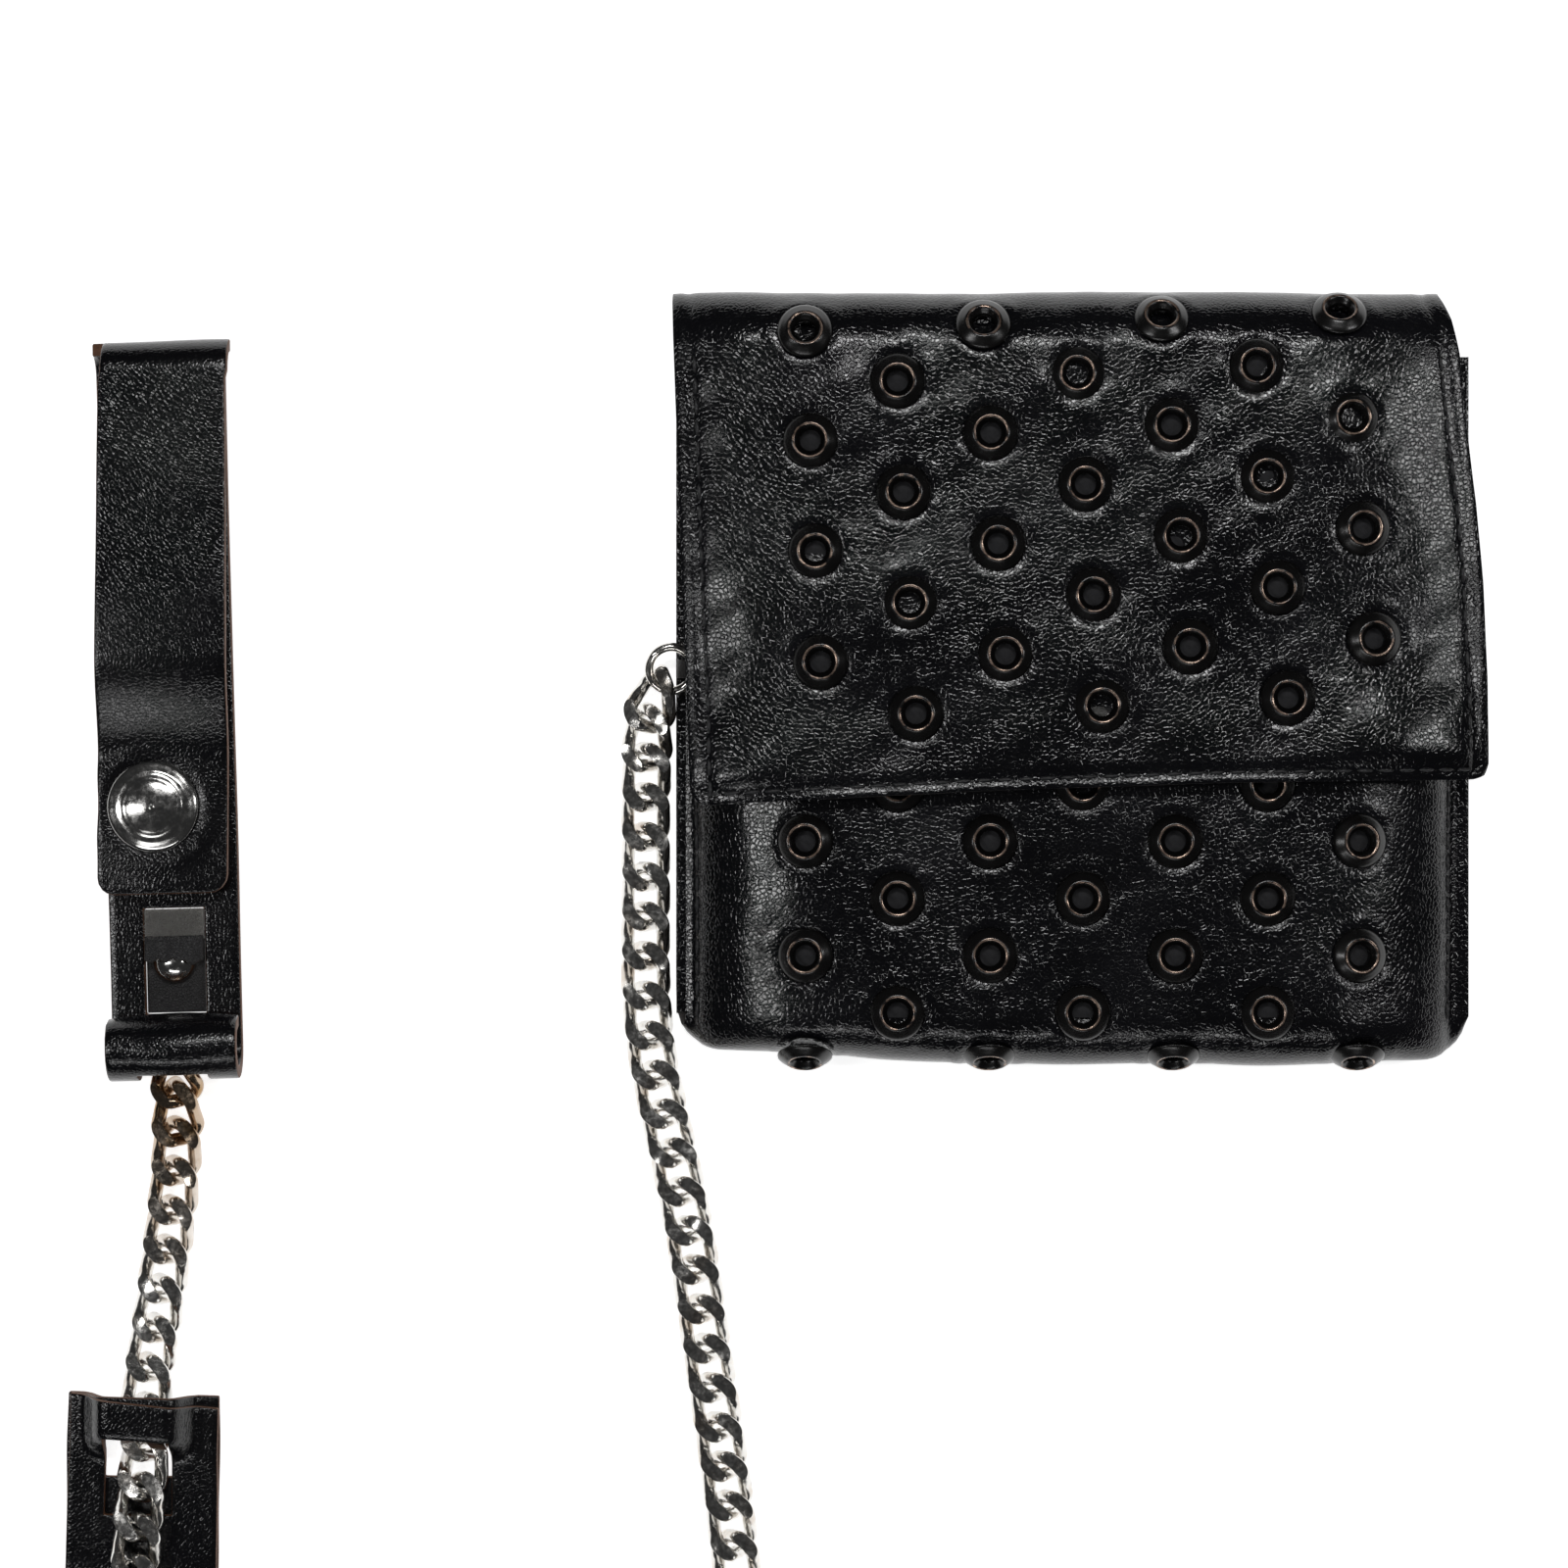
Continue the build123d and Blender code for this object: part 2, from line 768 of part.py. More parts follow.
def strap_sheet(points, width):
    """A strap stretch whose underside follows points of (u, z), a strap's thickness deep."""
    lower = [(-u, z) for u, z in points]
    upper = [(-u, z + strap_thick) for u, z in reversed(points)]
    return along_x(Polyline(*lower, *upper, close=True), width / 2)


def quarter_fold(radius, centre_u, centre_z, sign, start, end, width):
    """A stretch of a round fold, start to end in degrees from straight down; sign +1 opens down the strap."""
    ring = along_x(Circle(radius).edge(), width / 2) - along_x(Circle(radius - strap_thick).edge(), width)
    points = [(0, 0)]
    for k in range(9):
        a = radians(start + (end - start) * k / 8)
        points.append((3 * radius * sin(a), -3 * radius * cos(a)))
    wedge = along_x(Polyline(*points, close=True), width)
    part = ring & wedge
    if sign < 0:
        part = part.mirror(Plane.XZ)
    return Pos(0, -centre_u, centre_z) * part


def strap_back():
    """The strap's back layer, its lower half of the top fold and the end that folds up round the bar."""
    width = strap_width
    end_radius = (end_fold_gap + 2 * strap_thick) / 2
    sheet = strap_slab(loop_radius, strap_length - end_radius, 0, strap_thick)
    sheet += quarter_fold(loop_radius, loop_radius, loop_radius, 1, 0, 86, width)
    bend = quarter_fold(end_radius, strap_length - end_radius, end_radius, -1, 0, 180, width)
    z_top = strap_thick + end_fold_gap
    u1 = strap_length - end_radius
    u0 = strap_length - end_fold_length
    falling = [(u1, z_top), (u1 - strap_thick, z_top - 0.1), (u0, strap_thick + end_fold_rest)]
    fold_up = strap_sheet(falling, width)
    sheet = sheet + bend + fold_up
    window = strap_slab(window_u, window_u + window_length, -1, strap_thick + 1, window_width)
    slot = strap_slab(bar_u - end_slot_run, strap_length + 1, -1, z_top + end_skive, end_slot)
    post = Pos(snap_v, -snap_u, 0) * Cylinder(post_radius + post_clear, 5 * strap_thick)
    return one(strap_plane * one(sheet - window - slot - post))


def tongue_v(u):
    """How far the tongue's middle line has wandered across the strap at u."""
    return tongue_shift - u * tan(radians(tongue_skew))


snap_v = tongue_v(snap_u) + snap_shift


def tongue_z(u):
    """Height of the tongue's underside: it comes down from the belt loop to the press stud."""
    span = snap_u - cap_radius - belt_stretch
    t = min(max((u - belt_stretch) / span, 0), 1)
    return tongue_low + (tongue_rest - tongue_low) * (3 * t ** 2 - 2 * t ** 3)


def strap_tongue():
    width = strap_width
    stations = [loop_radius + (tongue_length - loop_radius) * k / 12 for k in range(13)]
    flat = strap_sheet([(u, tongue_z(u)) for u in stations], 2 * width)
    v0, v1 = tongue_v(0), tongue_v(tongue_length)
    outline = Polyline(
        (v0 - width / 2, 0),
        (v1 - width / 2, -tongue_length),
        (v1 + width / 2, -tongue_length),
        (v0 + width / 2, 0),
        close=True,
    )
    face = make_face(outline)
    face = fillet(sorted(face.vertices(), key=lambda v: v.Y)[:2], tongue_corner)
    flat &= extrude(Pos(0, 0, -1) * face, amount=40)
    bend = quarter_fold(loop_radius, loop_radius, loop_radius, 1, 94, 180, width)
    hole = Pos(snap_v, -snap_u, 0) * Cylinder(cap_stem + post_clear, 40)
    return one(strap_plane * one(flat + bend - hole))


def snap_place(z):
    return strap_plane * Pos(snap_v, -snap_u, z)


def snap_cap():
    """The domed cap: a shallow spherical cap with a rolled edge and a hollow post through the tongue."""
    z = tongue_z(snap_u) + strap_thick + cap_seat
    ball = arc_radius(cap_radius, cap_height - cap_edge)
    dome = Pos(0, 0, cap_height - ball) * Sphere(ball)
    dome &= Pos(0, 0, cap_height / 2) * Cylinder(cap_radius, cap_height)
    length = strap_thick + 2 * cap_seat
    stem = Pos(0, 0, -length / 2) * Cylinder(cap_stem, length)
    return one(snap_place(z) * one(dome + stem))


def snap_socket():
    z = tongue_z(snap_u) - socket_thick / 2 - 4 * layer_gap
    ring = Cylinder(socket_radius, socket_thick) - Cylinder(socket_bore, 2 * socket_thick)
    return one(snap_place(z) * one(ring))


def snap_stud():
    """The stud on the back layer: a flange, a knob up into the socket and a post through the strap."""
    flange = Pos(0, 0, strap_thick + stud_plate / 2) * Cylinder(stud_foot, stud_plate)
    knob = Pos(0, 0, strap_thick + stud_head_height / 2) * Cylinder(stud_head, stud_head_height)
    post = Pos(0, 0, strap_thick / 2 + 2 * post_clear) * Cylinder(post_radius, strap_thick)
    return one(snap_place(0) * one(flange + knob + post))


window_start = window_u + window_clear
window_end = window_u + window_length - window_clear
inlay_width = window_width - 2 * window_clear
floor_top = floor_rise + floor_thick
nap_low = floor_top + layer_gap
nap_top = nap_low + nap_thick


def window_floor():
    floor = strap_slab(window_start, window_end, floor_rise, floor_top, inlay_width)
    hole = Pos(rivet_v, -rivet_u, 0) * Cylinder(post_radius + post_clear, 9)
    return one(strap_plane * one(floor - hole))


def nap_tab():
    return one(strap_plane * strap_slab(window_start, window_u + nap_length, nap_low, nap_top, inlay_width))


def cover_band():
    """A short dark band that lies over the nap tab's end and the top of the rivet."""
    room_top = floor_top + rivet_height + band_clear
    start, end = band_run
    band = strap_slab(window_u + start, window_u + end, nap_low, room_top + band_thick, inlay_width)
    under_end = window_u + nap_length + window_clear
    under = strap_slab(window_u, under_end, 0, nap_top + 2 * layer_gap, window_width)
    room = Pos(rivet_v, -rivet_u, room_top / 2) * Cylinder(rivet_radius + window_clear, room_top)
    return one(strap_plane * one(band - under - room))


def rivet_dome():
    ball = arc_radius(rivet_radius, rivet_height - rivet_edge)
    dome = Pos(0, 0, rivet_height - ball) * Sphere(ball)
    dome &= Pos(0, 0, rivet_height / 2) * Cylinder(rivet_radius, rivet_height)
    return one(strap_plane * Pos(rivet_v, -rivet_u, floor_top + 0.02) * one(dome))


def rivet_post():
    post = Pos(rivet_v, -rivet_u, (floor_rise + floor_top) / 2) * Cylinder(post_radius, floor_thick)
    return one(strap_plane * post)


def end_bar():
    bar = Pos(0, -bar_u, bar_z) * (Rot(0, 90, 0) * Cylinder(bar_radius, bar_length))
    return one(strap_plane * bar)


# ---------------------------------------------------------------- keeper

keeper_across = (cos(radians(keeper_turn)), -sin(radians(keeper_turn)), 0)
keeper_plane = Plane(origin=keeper_point(0, 0, 0), x_dir=keeper_across, z_dir=(0, 0, 1))


def arched_band(low, u0, u1):
    """A bridge over the chain: flat at its sides, raised in the middle, one ply thick."""
    rise = chain_thick + keeper_clear
    half = keeper_width / 2
    left = keeper_slot_v - keeper_slot_width / 2
    right = keeper_slot_v + keeper_slot_width / 2
    foot_left = left - keeper_foot
    foot_right = right + keeper_foot
    high = low + rise
    under = [(-half, low), (foot_left, low), (left, high), (right, high), (foot_right, low), (half, low)]
    over = [(x, z + keeper_ply) for x, z in reversed(under)]
    return along_y(Polyline(*under, *over, close=True), -u1, -u0)


def keeper_ply_sheet(level):
    """One ply of the keeper: two bridges, two slots and the flat between and beside them."""
    half = keeper_width / 2
    low = level * (keeper_ply + ply_gap)
    sheet = block(-half, half, -keeper_length + keeper_bridge, -keeper_bridge, low, low + keeper_ply)
    left = keeper_slot_v - keeper_slot_width / 2
    run = keeper_slot_lower if level == 0 else keeper_slot_length
    for start in (keeper_bridge, keeper_length - keeper_bridge - run):
        sheet -= block(left, left + keeper_slot_width, -start - run, -start, -1, 9)
    sheet += arched_band(low, 0, keeper_bridge)
    sheet += arched_band(low, keeper_length - keeper_bridge, keeper_length)
    return one(keeper_plane * one(sheet))


# ---------------------------------------------------------------- build

def build():
    os.makedirs("parts", exist_ok=True)
    save("outer_shell", outer_shell())
    save("front_lining", front_lining())
    save("back_lining", back_lining())
    save("note_divider", note_divider())
    save("card_pocket_rear", card_pocket(0))
    save("card_pocket_front", card_pocket(1))
    save_group("front_eyelets", eyelet_group(front_places()))
    save("front_snap_stud", front_snap_stud())
    save("chain_tab", chain_tab())
    save("top_fold", top_fold())
    save("flap_leather", flap_leather())
    save("flap_lining", flap_lining())
    save_group("flap_eyelets", eyelet_group(flap_places()))
    save("flap_snap_socket", flap_snap_socket())
    save("wallet_ring", wallet_ring())
    link = curb_link()
    for n in range(len(segment_starts)):
        save_group(f"chain_{n + 1:02d}", [link_place(k) * link for k in segment_links(n)])
    save("strap_back", strap_back())
    save("strap_tongue", strap_tongue())
    save("snap_cap", snap_cap())
    save("snap_socket", snap_socket())
    save("snap_stud", snap_stud())
    save("window_floor", window_floor())
    save("nap_tab", nap_tab())
    save("cover_band", cover_band())
    save("rivet_dome", rivet_dome())
    save("rivet_post", rivet_post())
    save("end_bar", end_bar())
    save("keeper_lower_ply", keeper_ply_sheet(0))
    save("keeper_upper_ply", keeper_ply_sheet(1))


build()
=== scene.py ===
import json
import math

import bpy
import numpy as np
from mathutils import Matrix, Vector


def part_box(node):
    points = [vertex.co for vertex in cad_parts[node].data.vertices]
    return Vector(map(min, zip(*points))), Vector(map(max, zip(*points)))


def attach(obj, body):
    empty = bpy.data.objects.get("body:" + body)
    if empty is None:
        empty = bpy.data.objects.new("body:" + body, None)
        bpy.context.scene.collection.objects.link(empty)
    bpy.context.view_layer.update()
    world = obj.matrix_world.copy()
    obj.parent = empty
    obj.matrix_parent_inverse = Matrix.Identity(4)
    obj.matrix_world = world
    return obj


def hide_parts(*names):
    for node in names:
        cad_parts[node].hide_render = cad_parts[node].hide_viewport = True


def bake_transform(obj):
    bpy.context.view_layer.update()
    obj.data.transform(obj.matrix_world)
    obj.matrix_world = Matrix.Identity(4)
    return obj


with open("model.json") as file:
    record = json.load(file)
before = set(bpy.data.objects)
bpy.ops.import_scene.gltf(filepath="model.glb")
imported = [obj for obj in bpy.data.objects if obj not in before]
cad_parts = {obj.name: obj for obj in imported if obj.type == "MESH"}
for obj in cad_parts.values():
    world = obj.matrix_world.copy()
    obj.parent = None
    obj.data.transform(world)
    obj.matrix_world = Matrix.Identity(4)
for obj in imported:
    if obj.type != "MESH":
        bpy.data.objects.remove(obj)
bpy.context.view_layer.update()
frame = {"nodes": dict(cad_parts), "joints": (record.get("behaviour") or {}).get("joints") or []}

mm = 0.001
joints = {joint["name"]: joint for joint in frame["joints"]}

# ---- Wallet leather: back, bottom fold and front panel
# One piece of black chrome-tanned cowhide with a pebbled, glazed face. It is cut flat, folded up at the
# bottom and stitched at both sides, so its front panel is pillowed and its raw edges show at the seams.

leather_thick = 1.3 * mm
shell_low, shell_high = [np.array(corner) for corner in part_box("outer_shell")]
half_width = shell_high[0]
front_top = shell_high[2]
bottom_radius = front_top / 2
top_radius = 8.0 * mm
fold_y = joints["flap_fold_lower"]["pos_m"][1] - math.pi / 4 * top_radius
flap_top = 2 * top_radius
bottom_y = shell_low[1] + bottom_radius
mouth_y = fold_y - 0.3 * mm
shoulder_run = 20.0 * mm
shoulder_x = half_width - shoulder_run
seam_margin = 2.0 * mm
seam_height = 4.4 * mm
seam_inset = 2.6 * mm
column_pitch = 24.6 * mm
eyelet_sink = 0.35 * mm
front_rows = 11
front_row_pitch = 7.6 * mm
front_first_row = -6.9 * mm
front_shift = 0.9 * mm


def linear(code):
    """An sRGB hex colour as a linear RGBA colour."""
    channels = [int(code[i:i + 2], 16) / 255 for i in (1, 3, 5)]
    return [c / 12.92 if c <= 0.04045 else ((c + 0.055) / 1.055) ** 2.4 for c in channels] + [1.0]


def add(tree, kind, links=None, **settings):
    """Adds a node with its settings; each entry of links is a value or another node's output."""
    made = tree.nodes.new(kind)
    for key, value in settings.items():
        setattr(made, key, value)
    for key, value in (links or {}).items():
        if isinstance(value, bpy.types.NodeSocket):
            tree.links.new(value, made.inputs[key])
        else:
            made.inputs[key].default_value = value
    return made


def new_material(name):
    """An empty material: its tree, its principled shader and the object coordinates."""
    made = bpy.data.materials.new(name)
    made.use_nodes = True
    tree = made.node_tree
    shader = tree.nodes["Principled BSDF"]
    place = add(tree, "ShaderNodeTexCoord").outputs["Object"]
    return made, tree, shader, place


def grained_leather(name, face, worn, grain, relief, gloss, crease):
    """Pebbled hide: rounded cells of a stated size, fine pores, and creases that cross them."""
    made, tree, shader, place = new_material(name)
    warp = add(tree, "ShaderNodeTexNoise", {"Vector": place, "Scale": 0.4 / grain, "Detail": 2.0})
    shift = add(tree, "ShaderNodeVectorMath", {0: warp.outputs["Color"], "Scale": 0.6 * grain},
                operation="SCALE")
    bent = add(tree, "ShaderNodeVectorMath", {0: place, 1: shift.outputs[0]}, operation="ADD")
    cells = add(tree, "ShaderNodeTexVoronoi", {"Vector": bent.outputs[0], "Scale": 1 / grain},
                feature="DISTANCE_TO_EDGE")
    domes = add(tree, "ShaderNodeMapRange", {0: cells.outputs["Distance"], 1: 0.0, 2: 0.22},
                interpolation_type="SMOOTHSTEP")
    pores = add(tree, "ShaderNodeTexNoise", {"Vector": place, "Scale": 1 / (0.25 * grain), "Detail": 3.0})
    folds = add(tree, "ShaderNodeTexNoise", {"Vector": place, "Scale": 1 / (13 * mm), "Detail": 3.0,
                                             "Roughness": 0.5, "Distortion": 0.8})
    ridge = add(tree, "ShaderNodeMath", {0: folds.outputs["Fac"], 1: 0.5}, operation="SUBTRACT")
    ridge = add(tree, "ShaderNodeMath", {0: ridge.outputs[0]}, operation="ABSOLUTE")
    ridge = add(tree, "ShaderNodeMapRange", {0: ridge.outputs[0], 1: 0.0, 2: 0.03})
    height = add(tree, "ShaderNodeMath", {0: pores.outputs["Fac"], 1: 0.25, 2: domes.outputs[0]},
                 operation="MULTIPLY_ADD")
    height = add(tree, "ShaderNodeMath", {0: ridge.outputs[0], 1: crease, 2: height.outputs[0]},
                 operation="MULTIPLY_ADD")
    bump = add(tree, "ShaderNodeBump", {"Height": height.outputs[0], "Strength": 1.0, "Distance": relief})
    patches = add(tree, "ShaderNodeTexNoise", {"Vector": place, "Scale": 1 / (14 * mm), "Detail": 4.0})
    tint = add(tree, "ShaderNodeMapRange", {0: patches.outputs["Fac"], 1: 0.45, 2: 0.75})
    colour = add(tree, "ShaderNodeMix", {0: tint.outputs[0], 6: linear(face), 7: linear(worn)},
                 data_type="RGBA")
    rough = add(tree, "ShaderNodeMapRange", {0: patches.outputs["Fac"], 1: 0.3, 2: 0.7,
                                             3: gloss, 4: gloss + 0.08})
    tree.links.new(colour.outputs[2], shader.inputs["Base Color"])
    tree.links.new(rough.outputs[0], shader.inputs["Roughness"])
    tree.links.new(bump.outputs[0], shader.inputs["Normal"])
    shader.inputs["IOR"].default_value = 1.5
    return made


def fibrous_edge(name, cut, dark):
    """The cut edge of hide: layered fibres, no glaze, a little lighter than the dyed face."""
    made, tree, shader, place = new_material(name)
    layers = add(tree, "ShaderNodeTexNoise", {"Vector": place, "Scale": 1 / (0.5 * mm), "Detail": 5.0})
    colour = add(tree, "ShaderNodeMix", {0: layers.outputs["Fac"], 6: linear(dark), 7: linear(cut)},
                 data_type="RGBA")
    bump = add(tree, "ShaderNodeBump", {"Height": layers.outputs["Fac"], "Strength": 0.6,
                                        "Distance": 0.15 * mm})
    tree.links.new(colour.outputs[2], shader.inputs["Base Color"])
    tree.links.new(bump.outputs[0], shader.inputs["Normal"])
    shader.inputs["Roughness"].default_value = 0.7
    return made


# Glazed black cowhide: small hard cells that each catch the light, so a lit slope sparkles.
glazed_cowhide = grained_leather("glazed_black_cowhide", "#08080b", "#0c0c10", grain=0.6 * mm,
                                 relief=0.02 * mm, gloss=0.12, crease=0.15)
black_cut_edge = fibrous_edge("black_cut_edge", "#3a3634", "#141212")


def wander(x, y, wavelength, seed):
    """A smooth, seeded unevenness of about -1 to 1."""
    chance = np.random.default_rng(seed)
    total = np.zeros(np.broadcast(x, y).shape)
    for _ in range(6):
        angle, phase = chance.uniform(0, 2 * math.pi, 2)
        wave = 2 * math.pi / (wavelength * chance.uniform(0.6, 1.6))
        total = total + np.sin(wave * (x * math.cos(angle) + y * math.sin(angle)) + phase)
    return total / 3.5


def outward(grid):
    """The unit normals of a grid of points: across crossed with along."""
    along = np.gradient(grid, axis=0)
    across = np.gradient(grid, axis=1)
    normal = np.cross(across, along)
    return normal / np.maximum(np.linalg.norm(normal, axis=2, keepdims=True), 1e-12)


def finished(made):
    """The object's evaluated shape as a plain mesh, with its modifiers used up."""
    evaluated = made.evaluated_get(bpy.context.evaluated_depsgraph_get())
    mesh = bpy.data.meshes.new_from_object(evaluated)
    made.modifiers.clear()
    made.data = mesh
    mesh.shade_smooth()
    return made


def hide_panel(name, grid, thickness, face, edge, keep=None, offset=-1.0, rounding=0.3 * mm):
    """A sheet of leather from a grid of points on its face: a wall with a cut edge, slightly rounded."""
    rows, cols = grid.shape[:2]
    index = np.arange(rows * cols).reshape(rows, cols)
    quads = np.stack([index[:-1, :-1], index[:-1, 1:], index[1:, 1:], index[1:, :-1]], axis=-1).reshape(-1, 4)
    if keep is not None:
        quads = quads[keep.reshape(-1)]
    used, place = np.unique(quads, return_inverse=True)
    mesh = bpy.data.meshes.new(name)
    mesh.from_pydata(grid.reshape(-1, 3)[used].tolist(), [], place.reshape(-1, 4).tolist())
    mesh.materials.append(face)
    mesh.materials.append(edge)
    made = bpy.data.objects.new(name, mesh)
    bpy.context.scene.collection.objects.link(made)
    wall = made.modifiers.new("thickness", "SOLIDIFY")
    wall.thickness = thickness
    wall.offset = offset
    wall.use_even_offset = True
    wall.material_offset_rim = 1
    bevel = made.modifiers.new("edge", "BEVEL")
    bevel.width = rounding
    bevel.segments = 2
    bevel.limit_method = "ANGLE"
    bevel.angle_limit = math.radians(50)
    return finished(made)


def shoulder(x):
    """The height of the pillowed front above the table at x."""
    run = shoulder_run - seam_margin
    drop = front_top - seam_height
    arc = (run ** 2 + drop ** 2) / (2 * drop)
    over = np.clip(np.abs(x) - shoulder_x, 0, run)
    return front_top - (arc - np.sqrt(arc ** 2 - over ** 2))


def puckers(grid, centres, seed):
    """How far the hide sinks towards each eyelet, with the folds that a press leaves round it."""
    rise = np.zeros(grid.shape[:2])
    chance = np.random.default_rng(seed)
    for centre in centres:
        away = grid - np.array(centre)
        d = np.linalg.norm(away, axis=2) / mm
        turn = np.arctan2(away[..., 1], away[..., 0])
        phase = chance.uniform(0, 2 * math.pi, 2)
        folds = 1 + 0.35 * np.sin(5 * turn + phase[0]) + 0.3 * np.sin(8 * turn + phase[1])
        rise -= 0.5 * mm * np.exp(-(d / 6.4) ** 2)
        rise += 0.13 * mm * np.exp(-((d - 4.6) / 0.8) ** 2) * folds
        rise -= 0.1 * mm * np.clip((4.0 - d) / 0.7, 0, 1)
        rise -= 1.0 * mm * np.clip((2.6 - d) / 0.5, 0, 1)
    return rise


def front_places():
    """Seats of the front eyelets and which way each one faces: alternate rows are half a pitch over."""
    seats = []
    arc_drop = front_top - seam_height
    arc_run = shoulder_run - seam_margin
    arc = (arc_run ** 2 + arc_drop ** 2) / (2 * arc_drop)
    for row in range(front_rows):
        run = front_first_row + row * front_row_pitch
        count = 4 if row % 2 == 0 else 3
        for k in range(count):
            x = front_shift + (k - (count - 1) / 2) * column_pitch
            if run < 0:
                a = -run / bottom_radius
                normal = Vector((0, -math.sin(a), math.cos(a)))
                seat = Vector((x, bottom_y, bottom_radius)) + normal * (bottom_radius - 0.5 * mm)
            else:
                over = math.copysign(max(abs(x) - shoulder_x, 0), x)
                drop = arc - math.sqrt(arc ** 2 - over ** 2)
                normal = Vector((over / arc, 0, 1 - drop / arc)).normalized()
                seat = Vector((x, bottom_y + run, front_top - drop)) - normal * eyelet_sink
            seats.append((seat, normal))
    return seats


front_seats = front_places()
back_steps = np.linspace(fold_y, bottom_y, 24)[:-1]
bend_steps = np.linspace(0, math.pi, 30)[:-1]
front_steps = np.linspace(bottom_y, mouth_y, 128)
across_steps = np.linspace(0, 1, 154)
corner = 6.0 * mm
path = []
for y in back_steps:
    path.append((0.0, y, 0.0))
for a in bend_steps:
    path.append((a / math.pi, None, a))
for y in front_steps:
    path.append((1.0, y, math.pi))
shell_grid = np.zeros((len(path), len(across_steps), 3))
for row, (front_share, y, a) in enumerate(path):
    left = -half_width + 1.4 * mm * front_share
    x = left + (half_width - left) * across_steps
    beyond = np.clip(np.abs(x) - (half_width - corner), 0, corner - 0.05 * mm)
    pull = corner - np.sqrt(corner ** 2 - beyond ** 2)
    droop = (2.4 * ((x / mm - 12.5) / 65) ** 2 - 0.5) * mm
    top = shoulder(x)
    height = top * (1 - math.cos(a)) / 2
    if y is None:
        reach = (bottom_radius - pull - droop) * math.sin(a)
        depth = bottom_y - reach
    else:
        depth = np.full(x.shape, y)
    shell_grid[row] = np.stack([x, depth, height], axis=-1)
facing = outward(shell_grid)
front_share = np.array([step[0] for step in path])[:, None]
x, y = shell_grid[..., 0], shell_grid[..., 1]
swell = 0.28 * mm * wander(x, y, 34 * mm, 3) + 0.1 * mm * wander(x, y, 11 * mm, 4)
side_room = np.clip((half_width - np.abs(x)) / (6 * mm), 0, 1)
swell = swell * front_share * side_room
groove = -0.25 * mm * np.exp(-((half_width - np.abs(x) - seam_inset) / (0.6 * mm)) ** 2) * front_share
bumps = puckers(shell_grid, [seat for seat, normal in front_seats], 11)
shell_grid = shell_grid + facing * (swell + groove + bumps)[..., None]
wallet_leather = hide_panel("wallet_leather", shell_grid, leather_thick, glazed_cowhide, black_cut_edge)
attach(wallet_leather, "wallet")
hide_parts("outer_shell")

# ---- Seam welts
# Narrow strips of the same hide laid between front and back along each side seam. They fill the gap that
# the pillowed front leaves, and their cut edges are the middle line of the seam.

welt_rows = np.linspace(bottom_y + 1.5 * mm, mouth_y, 60)
for side, name in ((-1, "seam_welt_left"), (1, "seam_welt_right")):
    reach = half_width - (1.6 * mm if side < 0 else 0.5 * mm)
    lines = np.array([reach - 4.5 * mm, reach - 2.2 * mm, reach])[::side] * side
    welt_grid = np.zeros((len(welt_rows), 3, 3))
    for row, y in enumerate(welt_rows):
        ring_gap = 1.6 * mm if side < 0 and -11 * mm < y < 6 * mm else 0
        welt_grid[row, :, 0] = lines - side * ring_gap + 0.12 * mm * wander(y, 0.0, 15 * mm, 6)
        welt_grid[row, :, 1] = y
        welt_grid[row, :, 2] = seam_height - leather_thick - 0.1 * mm
    welt = hide_panel(name, welt_grid, 1.6 * mm, glazed_cowhide, black_cut_edge, rounding=0.2 * mm)
    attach(welt, "wallet")

# ---- Flap leather and its top fold
# The back panel runs on over the top as the flap: one piece of the same hide, wrapped round a soft fold
# and domed across. Its free end was cut a little askew and its right side steps in at the fold.

flap_flat_half = 30.0 * mm
flap_arc_run = half_width - flap_flat_half
flap_drop = 4.0 * mm
flap_arc = (flap_arc_run ** 2 + flap_drop ** 2) / (2 * flap_drop)
flap_turn = math.radians(2.4)
flap_slant = math.radians(4.3)
flap_corner = 2.2 * mm
flap_rows = 8
flap_row_pitch = 7.32 * mm
flap_first_row = 3.75 * mm
flap_gather = 0.04
flap_grid_shift = -0.35 * mm

# Slack in the hide: each place's x and y, how high it stands and how far it reaches, all in millimetres.
flap_slack = [(-45, -13, 1.0, 8), (44, -9, 1.5, 10), (3, 3, 0.5, 6), (-30, 36, 0.6, 8),
              (34, 36, 0.9, 9), (-4, 40, 0.7, 7), (20, 16, 0.5, 8), (-26, 12, 0.4, 7)]


def flap_left(y):
    return np.interp(y, [-16 * mm, 12 * mm, 50 * mm], [-51.1 * mm, -52.3 * mm, -53.7 * mm])


def flap_right(y):
    steps = [-12 * mm, -1 * mm, 12 * mm, 22.6 * mm, 30.5 * mm, 43 * mm, 47.6 * mm, 51 * mm]
    edge = [54.9 * mm, 54.8 * mm, 54.2 * mm, 53.2 * mm, 52.2 * mm, 50.9 * mm, 49.9 * mm, 48.6 * mm]
    return np.interp(y, steps, edge)


def flap_end(x):
    steps = [-52.5 * mm, -32 * mm, -12.5 * mm, 20 * mm, 54 * mm]
    return np.interp(x, steps, [-17.2 * mm, -16.1 * mm, -15.1 * mm, -14.0 * mm, -13.6 * mm])


def crown(x):
    """The height of the flap's face at x."""
    over = np.clip(np.abs(x) - flap_flat_half, 0, None)
    return flap_top - (flap_arc - np.sqrt(flap_arc ** 2 - over ** 2))


